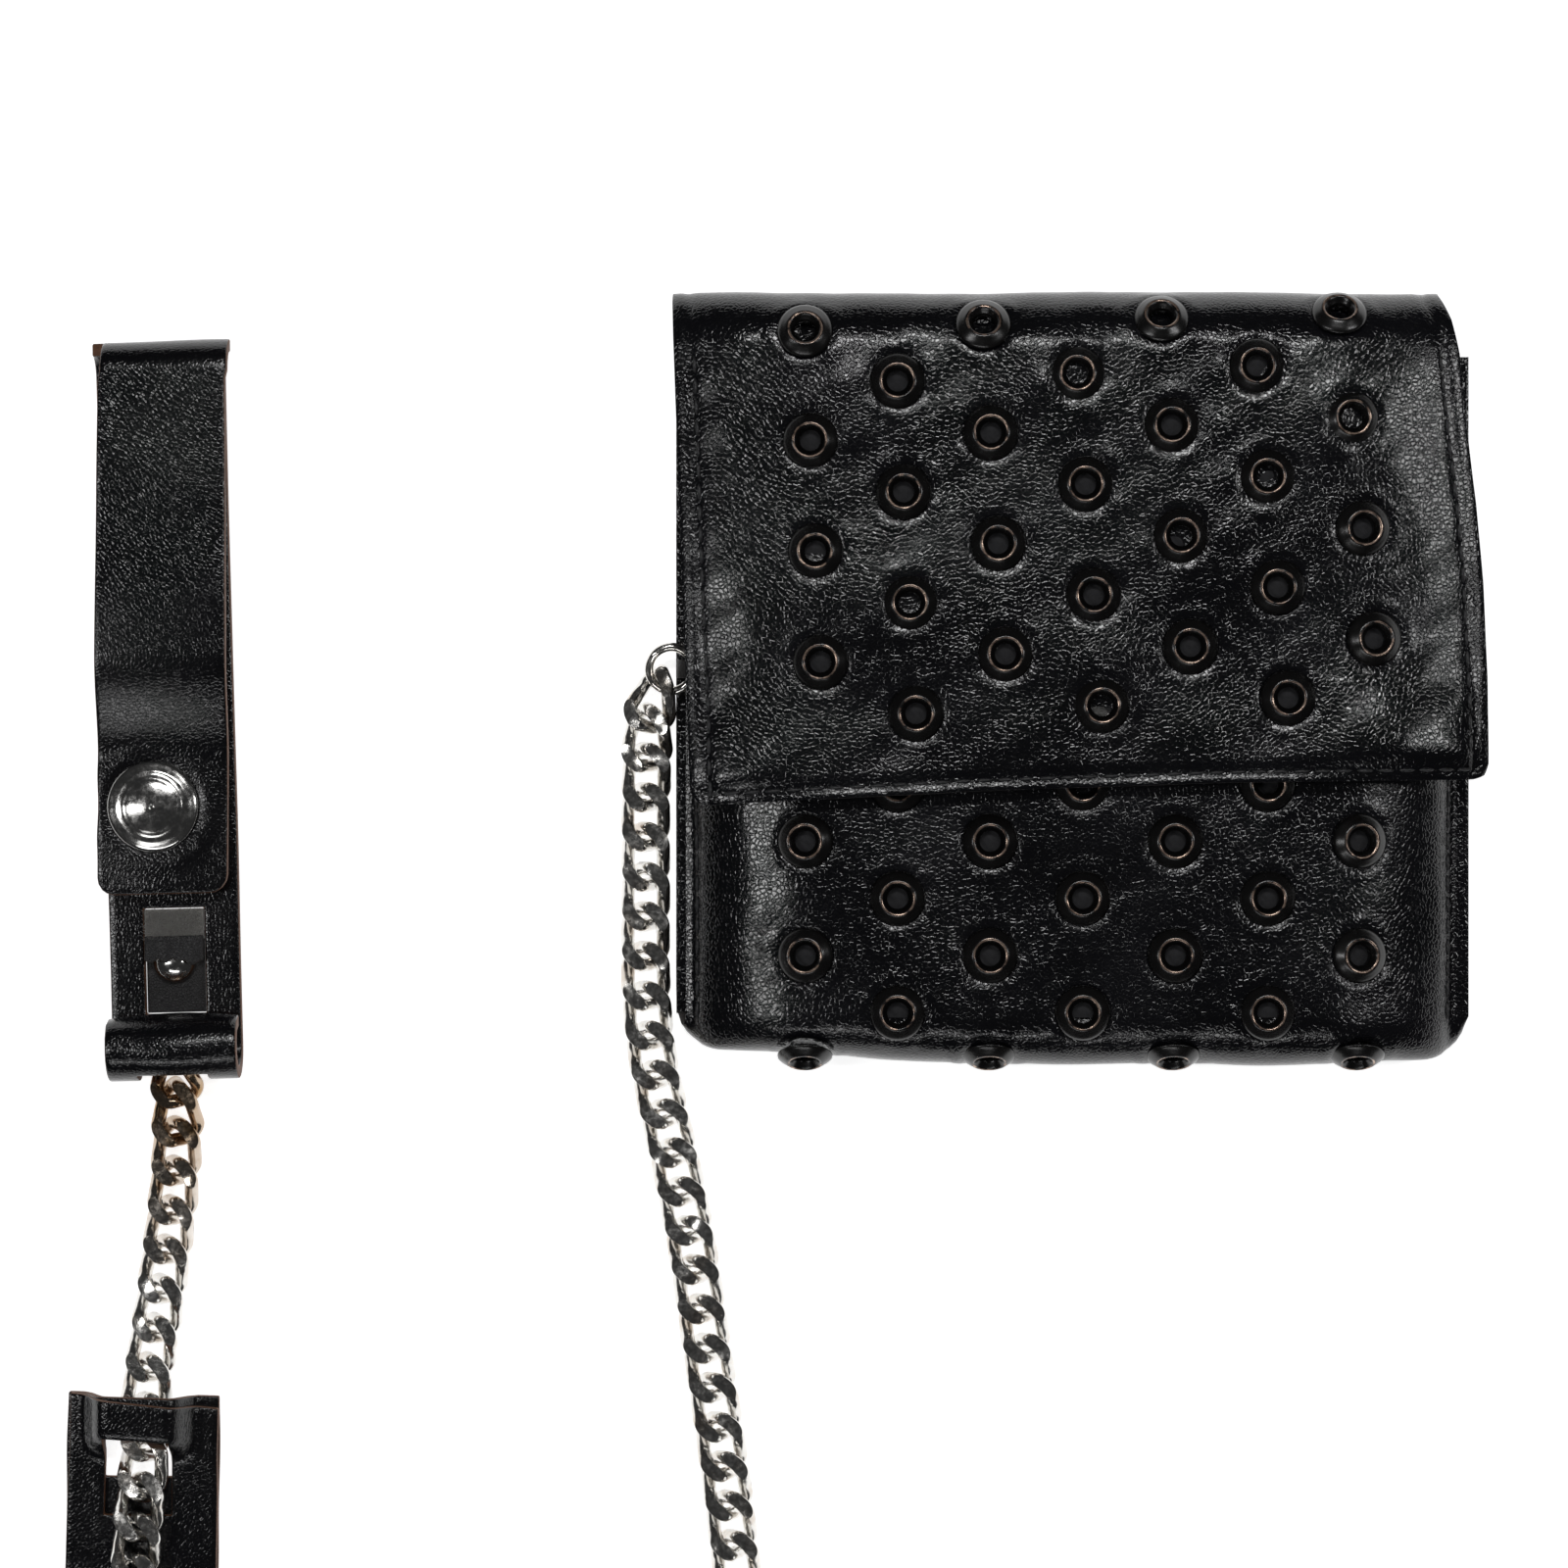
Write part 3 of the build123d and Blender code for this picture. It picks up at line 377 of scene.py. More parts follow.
def flap_places():
    """Seats of the flap's eyelets: the grid leans with the flap and its first row is on the top fold."""
    seats = []
    for row in range(flap_rows):
        run = flap_first_row - row * flap_row_pitch
        spread = 1 - flap_gather * (1 - row / (flap_rows - 1))
        count = 4 if row % 2 == 0 else 3
        for k in range(count):
            across = (k - (count - 1) / 2) * column_pitch * spread
            x = across * math.cos(flap_turn) - run * math.sin(flap_slant) + flap_grid_shift
            y = run * math.cos(flap_turn) + across * math.sin(flap_turn)
            if y > 0:
                a = min(y, top_radius * 1.2) / top_radius
                normal = Vector((0, math.sin(a), math.cos(a)))
                seat = Vector((x, fold_y, top_radius)) + normal * (top_radius - 0.5 * mm)
            else:
                over = math.copysign(max(abs(x) - flap_flat_half, 0), x)
                drop = flap_arc - math.sqrt(flap_arc ** 2 - over ** 2)
                normal = Vector((over / flap_arc, 0, 1 - drop / flap_arc)).normalized()
                seat = Vector((x, fold_y + y, flap_top - drop)) - normal * eyelet_sink
            seats.append((seat, normal))
    return seats


flap_seats = flap_places()
flat_rows = 84
fold_rows = 36
cut_row = flat_rows + fold_rows // 2
flap_grid = np.zeros((flat_rows + fold_rows + 1, len(across_steps), 3))
flap_edge = np.zeros(flap_grid.shape[:2])
for row in range(flap_grid.shape[0]):
    turned = max(row - flat_rows, 0) / fold_rows * math.pi
    along = min(row / flat_rows, 1)
    y = flap_end(0.0) * (1 - along) + fold_y * along + top_radius * math.sin(turned)
    x = flap_left(y) + (flap_right(y) - flap_left(y)) * across_steps
    y = flap_end(x) * (1 - along) + fold_y * along + top_radius * math.sin(turned)
    top = crown(x)
    z = top / 2 * (1 + math.cos(turned))
    flap_grid[row] = np.stack([x, y, z], axis=-1)
for row in range(flap_grid.shape[0]):
    for side in (0, 1):
        p = np.abs(flap_grid[row, :, 0] - flap_grid[row, -side, 0]) / flap_corner
        q = (flap_grid[row, :, 1] - flap_end(flap_grid[row, :, 0])) / flap_corner
        p_in, q_in = np.clip(1 - p, 0, 1), np.clip(1 - q, 0, 1)
        pull = p_in * q_in * (p_in + q_in) * 0.16 * flap_corner
        flap_grid[row, :, 0] += pull * (1 if side == 0 else -1)
        flap_grid[row, :, 1] += pull
facing = outward(flap_grid)
x, y = flap_grid[..., 0], flap_grid[..., 1]
from_side = np.minimum(x - flap_left(y), flap_right(y) - x)
from_end = np.where(np.arange(flap_grid.shape[0])[:, None] < flat_rows, y - flap_end(x), 1.0)
flat_share = np.clip((flat_rows + fold_rows - np.arange(flap_grid.shape[0])) / fold_rows, 0, 1)[:, None]
swell = 0.3 * mm * wander(x, y, 38 * mm, 21) + 0.08 * mm * wander(x, y, 9 * mm, 22)
for cx, cy, high, reach in flap_slack:
    swell = swell + high * mm * np.exp(-((x / mm - cx) ** 2 + (y / mm - cy) ** 2) / reach ** 2)
swell = swell * flat_share * np.clip(np.minimum(from_side, from_end) / (5 * mm) + 0.25, 0, 1)
groove = -0.3 * mm * np.exp(-((from_side / mm - 2.2) / 0.55) ** 2)
groove += -0.3 * mm * np.exp(-((from_end / mm - 1.6) / 0.5) ** 2) * np.clip(from_side / (2 * mm), 0, 1)
bumps = puckers(flap_grid, [seat for seat, normal in flap_seats], 31)
flap_grid = flap_grid + facing * (swell + groove * flat_share + bumps)[..., None]
flap_piece = hide_panel("flap_hide", flap_grid[:cut_row + 1], leather_thick, glazed_cowhide, black_cut_edge)
fold_piece = hide_panel("top_fold_hide", flap_grid[cut_row:], leather_thick, glazed_cowhide, black_cut_edge)
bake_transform(flap_piece)
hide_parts("flap_leather")
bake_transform(fold_piece)
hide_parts("top_fold")

# ---- Eyelets
# Brass eyelets with a domed, black-enamelled flange, pressed through the hide from the face. The enamel has
# rubbed through to coppery brass on each crest and at the flange's rim.

eyelet_flange = 3.7 * mm
eyelet_high = 1.2 * mm

enamelled_brass, tree, shader, place = new_material("enamelled_brass")
rubbed = add(tree, "ShaderNodeAttribute", attribute_name="rubbed").outputs["Fac"]
patchy = add(tree, "ShaderNodeTexNoise", {"Vector": place, "Scale": 1 / (1.1 * mm), "Detail": 4.0})
share = add(tree, "ShaderNodeMath", {0: rubbed, 1: patchy.outputs["Fac"]}, operation="MULTIPLY")
share = add(tree, "ShaderNodeMapRange", {0: share.outputs[0], 1: 0.36, 2: 0.6})
copper = add(tree, "ShaderNodeMix", {0: patchy.outputs["Fac"], 6: linear("#8a5a3c"), 7: linear("#b9aca0")},
             data_type="RGBA")
colour = add(tree, "ShaderNodeMix", {0: share.outputs[0], 6: linear("#0b0a0a"), 7: copper.outputs[2]},
             data_type="RGBA")
rough = add(tree, "ShaderNodeMapRange", {0: patchy.outputs["Fac"], 3: 0.16, 4: 0.34})
tree.links.new(colour.outputs[2], shader.inputs["Base Color"])
tree.links.new(share.outputs[0], shader.inputs["Metallic"])
tree.links.new(rough.outputs[0], shader.inputs["Roughness"])


def turned_part(name, profile, sides, attribute=None, values=()):
    """A shape of revolution about Z from a closed profile of (radius, height), faces outwards."""
    points = np.array(profile)
    turns = np.linspace(0, 2 * math.pi, sides, endpoint=False)
    verts = []
    for r, z in points:
        for a in turns:
            verts.append((r * math.cos(a), r * math.sin(a), z))
    faces = []
    for i in range(len(points)):
        for k in range(sides):
            n, m = (i + 1) % len(points), (k + 1) % sides
            faces.append((i * sides + k, i * sides + m, n * sides + m, n * sides + k))
    mesh = bpy.data.meshes.new(name)
    mesh.from_pydata(verts, [], faces)
    if attribute:
        worn = mesh.attributes.new(attribute, "FLOAT", "POINT")
        worn.data.foreach_set("value", np.repeat(np.array(values, dtype=float), sides))
    mesh.shade_smooth()
    return mesh


eyelet_profile = [
    (eyelet_flange, 0.0),
    (eyelet_flange - 0.03 * mm, 0.16 * mm),
    (3.42 * mm, 0.42 * mm),
    (3.1 * mm, 0.66 * mm),
    (2.75 * mm, 0.91 * mm),
    (2.5 * mm, 1.1 * mm),
    (2.3 * mm, eyelet_high),
    (2.12 * mm, eyelet_high - 0.03 * mm),
    (1.96 * mm, 1.06 * mm),
    (1.8 * mm, 0.8 * mm),
    (1.55 * mm, 0.5 * mm),
    (1.4 * mm, 0.3 * mm),
    (1.4 * mm, -0.75 * mm),
    (2.15 * mm, -0.75 * mm),
    (2.15 * mm, -0.05 * mm),
]
eyelet_wear = [0.3, 0.25, 0.0, 0.0, 0.0, 0.1, 0.9, 1.0, 0.3, 0.0, 0.0, 0.15, 0.0, 0.0, 0.0]
eyelet_mesh = turned_part("eyelet_master", eyelet_profile[::-1], 36, "rubbed", eyelet_wear[::-1])
eyelet_master = bpy.data.objects.new("eyelet_master", eyelet_mesh)


def node_group(name, **inputs):
    """A geometry node group, with the given inputs after its geometry, and its input node."""
    group = bpy.data.node_groups.new(name, "GeometryNodeTree")
    group.interface.new_socket("Geometry", in_out="INPUT", socket_type="NodeSocketGeometry")
    for label, kind in inputs.items():
        group.interface.new_socket(label, in_out="INPUT", socket_type="NodeSocket" + kind)
    group.interface.new_socket("Geometry", in_out="OUTPUT", socket_type="NodeSocketGeometry")
    return group, add(group, "NodeGroupInput")


def hand_out(group, geometry, finish):
    """Ends a node group: its instances are made real and given their finish."""
    real = add(group, "GeometryNodeRealizeInstances", {"Geometry": geometry})
    dressed = add(group, "GeometryNodeSetMaterial", {"Geometry": real.outputs[0], "Material": finish})
    add(group, "NodeGroupOutput", {"Geometry": dressed.outputs[0]})


setting, given = node_group("set_at_places", Fitting="Object", Size="Float", Finish="Material")
fitting = add(setting, "GeometryNodeObjectInfo", {"Object": given.outputs["Fitting"]})
faces_to = add(setting, "GeometryNodeInputNamedAttribute", {"Name": "faces_to"}, data_type="FLOAT_VECTOR")
stand = add(setting, "FunctionNodeAlignRotationToVector", {"Vector": faces_to.outputs[0]}, axis="Z")
placed = add(setting, "GeometryNodeInstanceOnPoints", {
    "Points": given.outputs["Geometry"], "Instance": fitting.outputs["Geometry"],
    "Rotation": stand.outputs[0], "Scale": given.outputs["Size"]})
hand_out(setting, placed.outputs[0], given.outputs["Finish"])


def give(modifier, **values):
    """Sets a geometry nodes modifier's named inputs by their sockets' identifiers."""
    for item in modifier.node_group.interface.items_tree:
        if item.in_out == "INPUT" and item.name in values:
            modifier[item.identifier] = values[item.name]


def fitted(name, seats, fitting, finish):
    """A plain mesh with one fitting at each seat, standing along the seat's normal."""
    mesh = bpy.data.meshes.new(name)
    mesh.from_pydata([tuple(seat) for seat, normal in seats], [], [])
    mesh.attributes.new("faces_to", "FLOAT_VECTOR", "POINT")
    mesh.attributes["faces_to"].data.foreach_set("vector", [c for seat, normal in seats for c in normal])
    made = bpy.data.objects.new(name, mesh)
    bpy.context.scene.collection.objects.link(made)
    nodes = made.modifiers.new("places", "NODES")
    nodes.node_group = setting
    give(nodes, Fitting=fitting, Size=1.0, Finish=finish)
    return finished(made)


for name, seats, body in (("front_eyelet_set", front_seats, "wallet"),
                          ("flap_eyelet_set", flap_seats, "flap")):
    eyelets = fitted(name, seats, eyelet_master, enamelled_brass)
    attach(eyelets, body)
    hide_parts(name.replace("_eyelet_set", "_eyelets"))

# ---- Stitching
# Waxed black polyester thread, sewn in a lockstitch along both side seams and round the flap. Each stitch
# is pulled down into the hide at its ends, so it reads as a small raised bead in a groove.

thread_thick = 0.55 * mm
stitch_pitch = 2.75 * mm
stitch_long = 2.3 * mm

waxed_thread, tree, shader, place = new_material("waxed_polyester_thread")
twist = add(tree, "ShaderNodeTexWave", {"Vector": place, "Scale": 1 / (1.1 * mm), "Distortion": 1.0},
            bands_direction="DIAGONAL")
colour = add(tree, "ShaderNodeMix", {0: twist.outputs["Fac"], 6: linear("#0b0b0c"), 7: linear("#1d1d20")},
             data_type="RGBA")
bump = add(tree, "ShaderNodeBump", {"Height": twist.outputs["Fac"], "Strength": 0.5, "Distance": 0.06 * mm})
tree.links.new(colour.outputs[2], shader.inputs["Base Color"])
tree.links.new(bump.outputs[0], shader.inputs["Normal"])
shader.inputs["Roughness"].default_value = 0.42

sewing, given = node_group("sewn_line", Pitch="Float", Length="Float", Thread="Float", Finish="Material")
line = add(sewing, "GeometryNodeMeshToCurve", {"Mesh": given.outputs["Geometry"]})
pitched = add(sewing, "GeometryNodeResampleCurve", {"Curve": line.outputs[0],
                                                    "Length": given.outputs["Pitch"]}, mode="LENGTH")
tangent = add(sewing, "GeometryNodeInputTangent")
aim = add(sewing, "FunctionNodeAlignRotationToVector", {"Vector": tangent.outputs[0]}, axis="X")
bead = add(sewing, "GeometryNodeMeshUVSphere", {"Segments": 8, "Rings": 6, "Radius": 0.5})
girth = add(sewing, "ShaderNodeCombineXYZ", {
    "X": given.outputs["Length"], "Y": given.outputs["Thread"], "Z": given.outputs["Thread"]})
sewn = add(sewing, "GeometryNodeInstanceOnPoints", {
    "Points": pitched.outputs[0], "Instance": bead.outputs[0], "Rotation": aim.outputs[0],
    "Scale": girth.outputs[0]})
hand_out(sewing, sewn.outputs[0], given.outputs["Finish"])


def stitched(name, lines, finish, pitch=stitch_pitch, length=stitch_long, thread=thread_thick):
    """A plain mesh of stitches along each line of points."""
    verts, edges = [], []
    for points in lines:
        first = len(verts)
        verts += [tuple(p) for p in points]
        edges += [(first + i, first + i + 1) for i in range(len(points) - 1)]
    mesh = bpy.data.meshes.new(name)
    mesh.from_pydata(verts, edges, [])
    made = bpy.data.objects.new(name, mesh)
    bpy.context.scene.collection.objects.link(made)
    nodes = made.modifiers.new("sewing", "NODES")
    nodes.node_group = sewing
    give(nodes, Pitch=pitch, Length=length, Thread=thread, Finish=finish)
    return finished(made)


def nearest_column(grid, row, x):
    return int(np.argmin(np.abs(grid[row, :, 0] - x)))


first_front = len(back_steps) + len(bend_steps)
seam_lines = []
for side in (-1, 1):
    points = []
    for row in range(first_front + 1, shell_grid.shape[0], 3):
        column = nearest_column(shell_grid, row, side * (half_width - seam_inset))
        points.append(shell_grid[row, column] + np.array([0, 0, 0.12 * mm]))
    seam_lines.append(points)
seam_stitches = stitched("seam_stitches", seam_lines, waxed_thread)
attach(seam_stitches, "wallet")

side_columns = (4, len(across_steps) - 5)
proud = np.array([0, 0, 0.1 * mm])
flap_lines = [[flap_grid[row, column] + proud for row in range(3, flat_rows - 1, 3)]
              for column in side_columns]
flap_lines.append([flap_grid[2, column] + proud for column in range(4, len(across_steps) - 4, 3)])
flap_stitches = stitched("flap_stitches", flap_lines, waxed_thread)
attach(flap_stitches, "flap")

# ---- Linings and pockets
# Black twill lining, a note divider and two card pockets of thin split leather, stitched in at the seams.
# They show only when the flap is open.

twill, tree, shader, place = new_material("black_twill")
weave = add(tree, "ShaderNodeTexWave", {"Vector": place, "Scale": 1 / (2.2 * mm), "Distortion": 0.4},
            bands_direction="DIAGONAL")
slubs = add(tree, "ShaderNodeTexNoise", {"Vector": place, "Scale": 1 / (0.5 * mm), "Detail": 3.0})
height = add(tree, "ShaderNodeMath", {0: weave.outputs["Fac"], 1: slubs.outputs["Fac"]}, operation="ADD")
colour = add(tree, "ShaderNodeMix", {0: slubs.outputs["Fac"], 6: linear("#101012"), 7: linear("#26262a")},
             data_type="RGBA")
bump = add(tree, "ShaderNodeBump", {"Height": height.outputs[0], "Strength": 0.5, "Distance": 0.08 * mm})
tree.links.new(colour.outputs[2], shader.inputs["Base Color"])
tree.links.new(bump.outputs[0], shader.inputs["Normal"])
shader.inputs["Roughness"].default_value = 0.8
shader.inputs["Sheen Weight"].default_value = 0.15

split_leather = grained_leather("black_split_leather", "#131214", "#1e1c1c", grain=0.4 * mm,
                                relief=0.05 * mm, gloss=0.5, crease=0.3)


def dress(node, finish):
    """Gives a frame node its material."""
    mesh = frame["nodes"][node].data
    mesh.materials.clear()
    mesh.materials.append(finish)


for node in ("front_lining", "back_lining", "flap_lining", "note_divider"):
    dress(node, twill)
for node in ("card_pocket_rear", "card_pocket_front", "chain_tab"):
    dress(node, split_leather)

# ---- Chain, ring and bar
# Curb chain of 1.9 mm steel wire: each oval link is twisted and its high sides are ground flat, then all is
# nickel plated and polished. A brown-yellow painted reflection tints the links next to the strap and spots on
# the other links, and fine scuffs dull the flats.

plated_steel, tree, shader, place = new_material("nickel_plated_steel")
where = add(tree, "ShaderNodeSeparateXYZ", {0: place})
# painted reflection: a brown-yellow base colour on the left leg's links next to the strap, and in noise spots
# on the rest
near_strap = add(tree, "ShaderNodeMapRange", {0: where.outputs["Y"], 1: -82 * mm, 2: -58 * mm})
left_leg = add(tree, "ShaderNodeMapRange", {0: where.outputs["X"], 1: -95 * mm, 2: -105 * mm})
painted_reflection_zone = add(tree, "ShaderNodeMath", {0: near_strap.outputs[0], 1: left_leg.outputs[0]}, operation="MULTIPLY")
blotch = add(tree, "ShaderNodeTexNoise", {"Vector": place, "Scale": 1 / (3.5 * mm), "Detail": 4.0})
painted_reflection_spots = add(tree, "ShaderNodeMapRange", {0: blotch.outputs["Fac"], 1: 0.5, 2: 0.72, 4: 0.35})
painted_reflection_share = add(tree, "ShaderNodeMath", {0: painted_reflection_zone.outputs[0], 1: 0.75, 2: painted_reflection_spots.outputs[0]},
             operation="MULTIPLY_ADD", use_clamp=True)
colour = add(tree, "ShaderNodeMix", {0: painted_reflection_share.outputs[0], 6: linear("#dcdad6"), 7: linear("#9c7c55")},
             data_type="RGBA")
scuffs = add(tree, "ShaderNodeTexNoise", {"Vector": place, "Scale": 1 / (0.6 * mm), "Detail": 6.0,
                                          "Roughness": 0.7})
rough = add(tree, "ShaderNodeMapRange", {0: scuffs.outputs["Fac"], 1: 0.35, 2: 0.75, 3: 0.1, 4: 0.3})
hand_ground = add(tree, "ShaderNodeTexNoise", {"Vector": place, "Scale": 1 / (4.5 * mm), "Detail": 1.0})
tilt = add(tree, "ShaderNodeBump", {"Height": hand_ground.outputs["Fac"], "Strength": 1.0,
                                    "Distance": 0.9 * mm})
bump = add(tree, "ShaderNodeBump", {"Height": scuffs.outputs["Fac"], "Strength": 0.25, "Distance": 0.03 * mm,
                                    "Normal": tilt.outputs[0]})
tree.links.new(colour.outputs[2], shader.inputs["Base Color"])
tree.links.new(rough.outputs[0], shader.inputs["Roughness"])
tree.links.new(bump.outputs[0], shader.inputs["Normal"])
shader.inputs["Metallic"].default_value = 1.0

for node in frame["nodes"]:
    if node.startswith("chain_") and node != "chain_tab" or node in ("wallet_ring", "end_bar"):
        dress(node, plated_steel)

# ---- Belt loop strap
# A 17.5 mm strap of smoother black hide, dyed through on the face only, so its cut edges stay brown. Its
# back layer runs from the top fold to an end that folds up round the bar that holds the chain.

strap_thick = 1.8 * mm
strap_width = 17.5 * mm
strap_length = 99.5 * mm
fold_radius = joints["tongue_open"]["pos_m"][2]
end_radius = joints["strap_lift"]["pos_m"][2]
strap_origin = np.array(joints["tongue_open"]["pos_m"][:2] + [0.0])
strap_across = -np.array(joints["tongue_open"]["axis"])
strap_down = np.array([strap_across[1], -strap_across[0], 0.0])
window_u = 76.4 * mm
window_long = 14.3 * mm
window_half = 4.1 * mm
slot_half = 4.6 * mm

strap_hide = grained_leather("bridle_hide", "#08080b", "#0d0c0e", grain=0.5 * mm, relief=0.014 * mm,
                             gloss=0.13, crease=0.15)
brown_cut_edge = fibrous_edge("brown_cut_edge", "#7a4e30", "#2c1a10")


def strap_place(u, v, z):
    """Points of the strap: u down it from the top fold, v across it, z above the table."""
    u, v, z = np.broadcast_arrays(u, v, z)
    flat = strap_origin + u[..., None] * strap_down + v[..., None] * strap_across
    return flat + z[..., None] * np.array([0.0, 0.0, 1.0])


def arc(centre_u, centre_z, radius, start, end, count):
    """Points of (u, z) on an arc, start and end in degrees from straight down towards the strap's end."""
    turns = np.radians(np.linspace(start, end, count))
    return [(centre_u + radius * math.sin(a), centre_z - radius * math.cos(a)) for a in turns]


def spaced(values, step):
    """Stations that pass through each given value, with about a step between them."""
    stations = [values[0]]
    for start, end in zip(values, values[1:]):
        count = max(round((end - start) / step), 1)
        stations += list(np.linspace(start, end, count + 1)[1:])
    return np.array(stations)


half = strap_width / 2
mid = strap_thick / 2
strap_path = arc(fold_radius, fold_radius, fold_radius - mid, -90, 0, 10)[:-1]
flat_u = spaced([fold_radius, 40 * mm, window_u, window_u + window_long, strap_length - end_radius], 1.1 * mm)
strap_path += [(u, mid) for u in flat_u]
strap_path += arc(strap_length - end_radius, end_radius, end_radius - mid, 0, 180, 20)[1:]
leg_top = 2 * end_radius - mid
strap_path += [(strap_length - end_radius - 1.4 * mm, leg_top - 0.1 * mm),
               (strap_length - end_radius - 2.7 * mm, leg_top - 1.1 * mm),
               (strap_length - 8.3 * mm, 3.7 * mm + mid)]
strap_v = spaced([-half, -slot_half, -window_half, window_half, slot_half, half], 1.0 * mm)
u, z = np.array(strap_path).T
back_grid = strap_place(u[:, None], strap_v[None, :], z[:, None])
facing = outward(back_grid)
x, y = back_grid[..., 0], back_grid[..., 1]
back_grid = back_grid + facing * (0.12 * mm * wander(x, y, 22 * mm, 41) * (z > mid)[:, None])[..., None]
edge_wander = 0.12 * mm * wander(y, 0.0, 19 * mm, 42) * (strap_v / half)
back_grid[..., :2] += edge_wander[..., None] * strap_across[:2]
over_bar = np.exp(-(((u - strap_length) / mm + 2.2) / 2.4) ** 2) * (z > 2 * end_radius - 3.2 * mm)
back_grid[..., 2] += 0.5 * mm * over_bar[:, None] * np.exp(-(strap_v / (5 * mm)) ** 2)
back_grid[-1] += (0.6 * mm * (strap_v / half) ** 2)[:, None] * strap_down + np.array([0, 0, -0.15 * mm])
cell_u = (u[1:] + u[:-1]) / 2
cell_z = (z[1:] + z[:-1]) / 2
cell_v = (strap_v[1:] + strap_v[:-1]) / 2
in_window = ((cell_z < 2 * mid) & (cell_u > window_u) & (cell_u < window_u + window_long))[:, None] \
    & (np.abs(cell_v) < window_half)[None, :]
in_slot = ((cell_u > strap_length - 6.4 * mm) & (cell_z < leg_top - 1.5 * mm)
           & (np.arange(len(cell_u)) < len(cell_u) - 3))[:, None] & (np.abs(cell_v) < slot_half)[None, :]
back_strap = hide_panel("strap_back_hide", back_grid, strap_thick, strap_hide, brown_cut_edge,
                        keep=~(in_window | in_slot), offset=0.0, rounding=0.25 * mm)
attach(back_strap, "strap")
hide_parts("strap_back")

# ---- Tongue
# The strap's front layer: the same hide carries on over the top fold and comes down, a little skewed, to
# the press stud. Its end corners are cut round.

tongue_length = 74.4 * mm
tongue_skew = math.tan(math.radians(1.75))
tongue_offset = 1.45 * mm
tongue_corner = 2.4 * mm
belt_stretch = 42.0 * mm
snap_u = 62.6 * mm
cap_radius = 6.2 * mm
tongue_low = 2 * fold_radius - strap_thick
tongue_rest = strap_thick + 1.5 * mm
snap_v = tongue_offset - snap_u * tongue_skew - 1.5 * mm


def tongue_z(u):
    t = np.clip((u - belt_stretch) / (snap_u - cap_radius - belt_stretch), 0, 1)
    return tongue_low + (tongue_rest - tongue_low) * (3 * t ** 2 - 2 * t ** 3)


tongue_u = spaced([fold_radius, belt_stretch, tongue_length - tongue_corner, tongue_length], 1.1 * mm)
tongue_path = arc(fold_radius, fold_radius, fold_radius - mid, -90, -180, 10)[:-1]
tongue_path += [(u, tongue_z(u) + mid) for u in tongue_u]
u, z = np.array(tongue_path)[::-1].T
tongue_v = spaced([-half, -half + tongue_corner, half - tongue_corner, half], 0.9 * mm)
round_off = np.clip((u - (tongue_length - tongue_corner)) / tongue_corner, 0, 1)[:, None]
near_edge = np.clip((np.abs(tongue_v) - (half - tongue_corner)) / tongue_corner, 0, 1)[None, :]
sink_u = tongue_corner * round_off * (1 - np.sqrt(1 - near_edge ** 2 / 2))
sink_v = tongue_corner * near_edge * (1 - np.sqrt(1 - round_off ** 2 / 2)) * np.sign(tongue_v)[None, :]
lean = tongue_offset - u[:, None] * tongue_skew - 0.25 * mm * (u[:, None] > fold_radius)
taper = 1 - 0.03 * np.clip(1 - u / (40 * mm), 0, 1)[:, None]
tongue_grid = strap_place(u[:, None] - sink_u, tongue_v[None, :] * taper + lean - sink_v, z[:, None])
facing = outward(tongue_grid)
from_cap = np.hypot(u[:, None] - snap_u, tongue_v[None, :] + lean - snap_v) / mm
x, y = tongue_grid[..., 0], tongue_grid[..., 1]
swell = 0.16 * mm * wander(x, y, 20 * mm, 51) + 0.22 * mm * np.exp(-((from_cap - 7.6) / 1.0) ** 2)
swell -= 0.25 * mm * np.clip((6.8 - from_cap) / 1.0, 0, 1)
tongue_grid = tongue_grid + facing * swell[..., None] * np.sign(facing[..., 2:3].mean())
tongue = hide_panel("strap_tongue_hide", tongue_grid, strap_thick, strap_hide, brown_cut_edge, offset=0.0,
                    rounding=0.25 * mm)
hinge = strap_place(np.zeros(1), np.zeros(1), np.array([fold_radius]))[0]
bend_end = strap_place(np.array([1.5 * mm]), np.zeros(1), np.array([fold_radius + 3.5 * mm]))[0]
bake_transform(tongue)
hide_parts("strap_tongue")

# ---- Snap cap
# Nickel-plated brass press-stud cap, stamped as a shallow dome with a rolled rim and two plain rings, and
# set on the tongue over its socket. Its plating is bright with fine handling marks.

stamped_nickel, tree, shader, place = new_material("stamped_nickel_cap")
marks = add(tree, "ShaderNodeTexNoise", {"Vector": place, "Scale": 1 / (0.9 * mm), "Detail": 6.0,
                                         "Roughness": 0.7})
rough = add(tree, "ShaderNodeMapRange", {0: marks.outputs["Fac"], 1: 0.4, 2: 0.8, 3: 0.1, 4: 0.32})
colour = add(tree, "ShaderNodeMix", {0: marks.outputs["Fac"], 6: linear("#d9d8d6"), 7: linear("#a9a7a4")},
             data_type="RGBA")
tree.links.new(colour.outputs[2], shader.inputs["Base Color"])
tree.links.new(rough.outputs[0], shader.inputs["Roughness"])
shader.inputs["Metallic"].default_value = 1.0

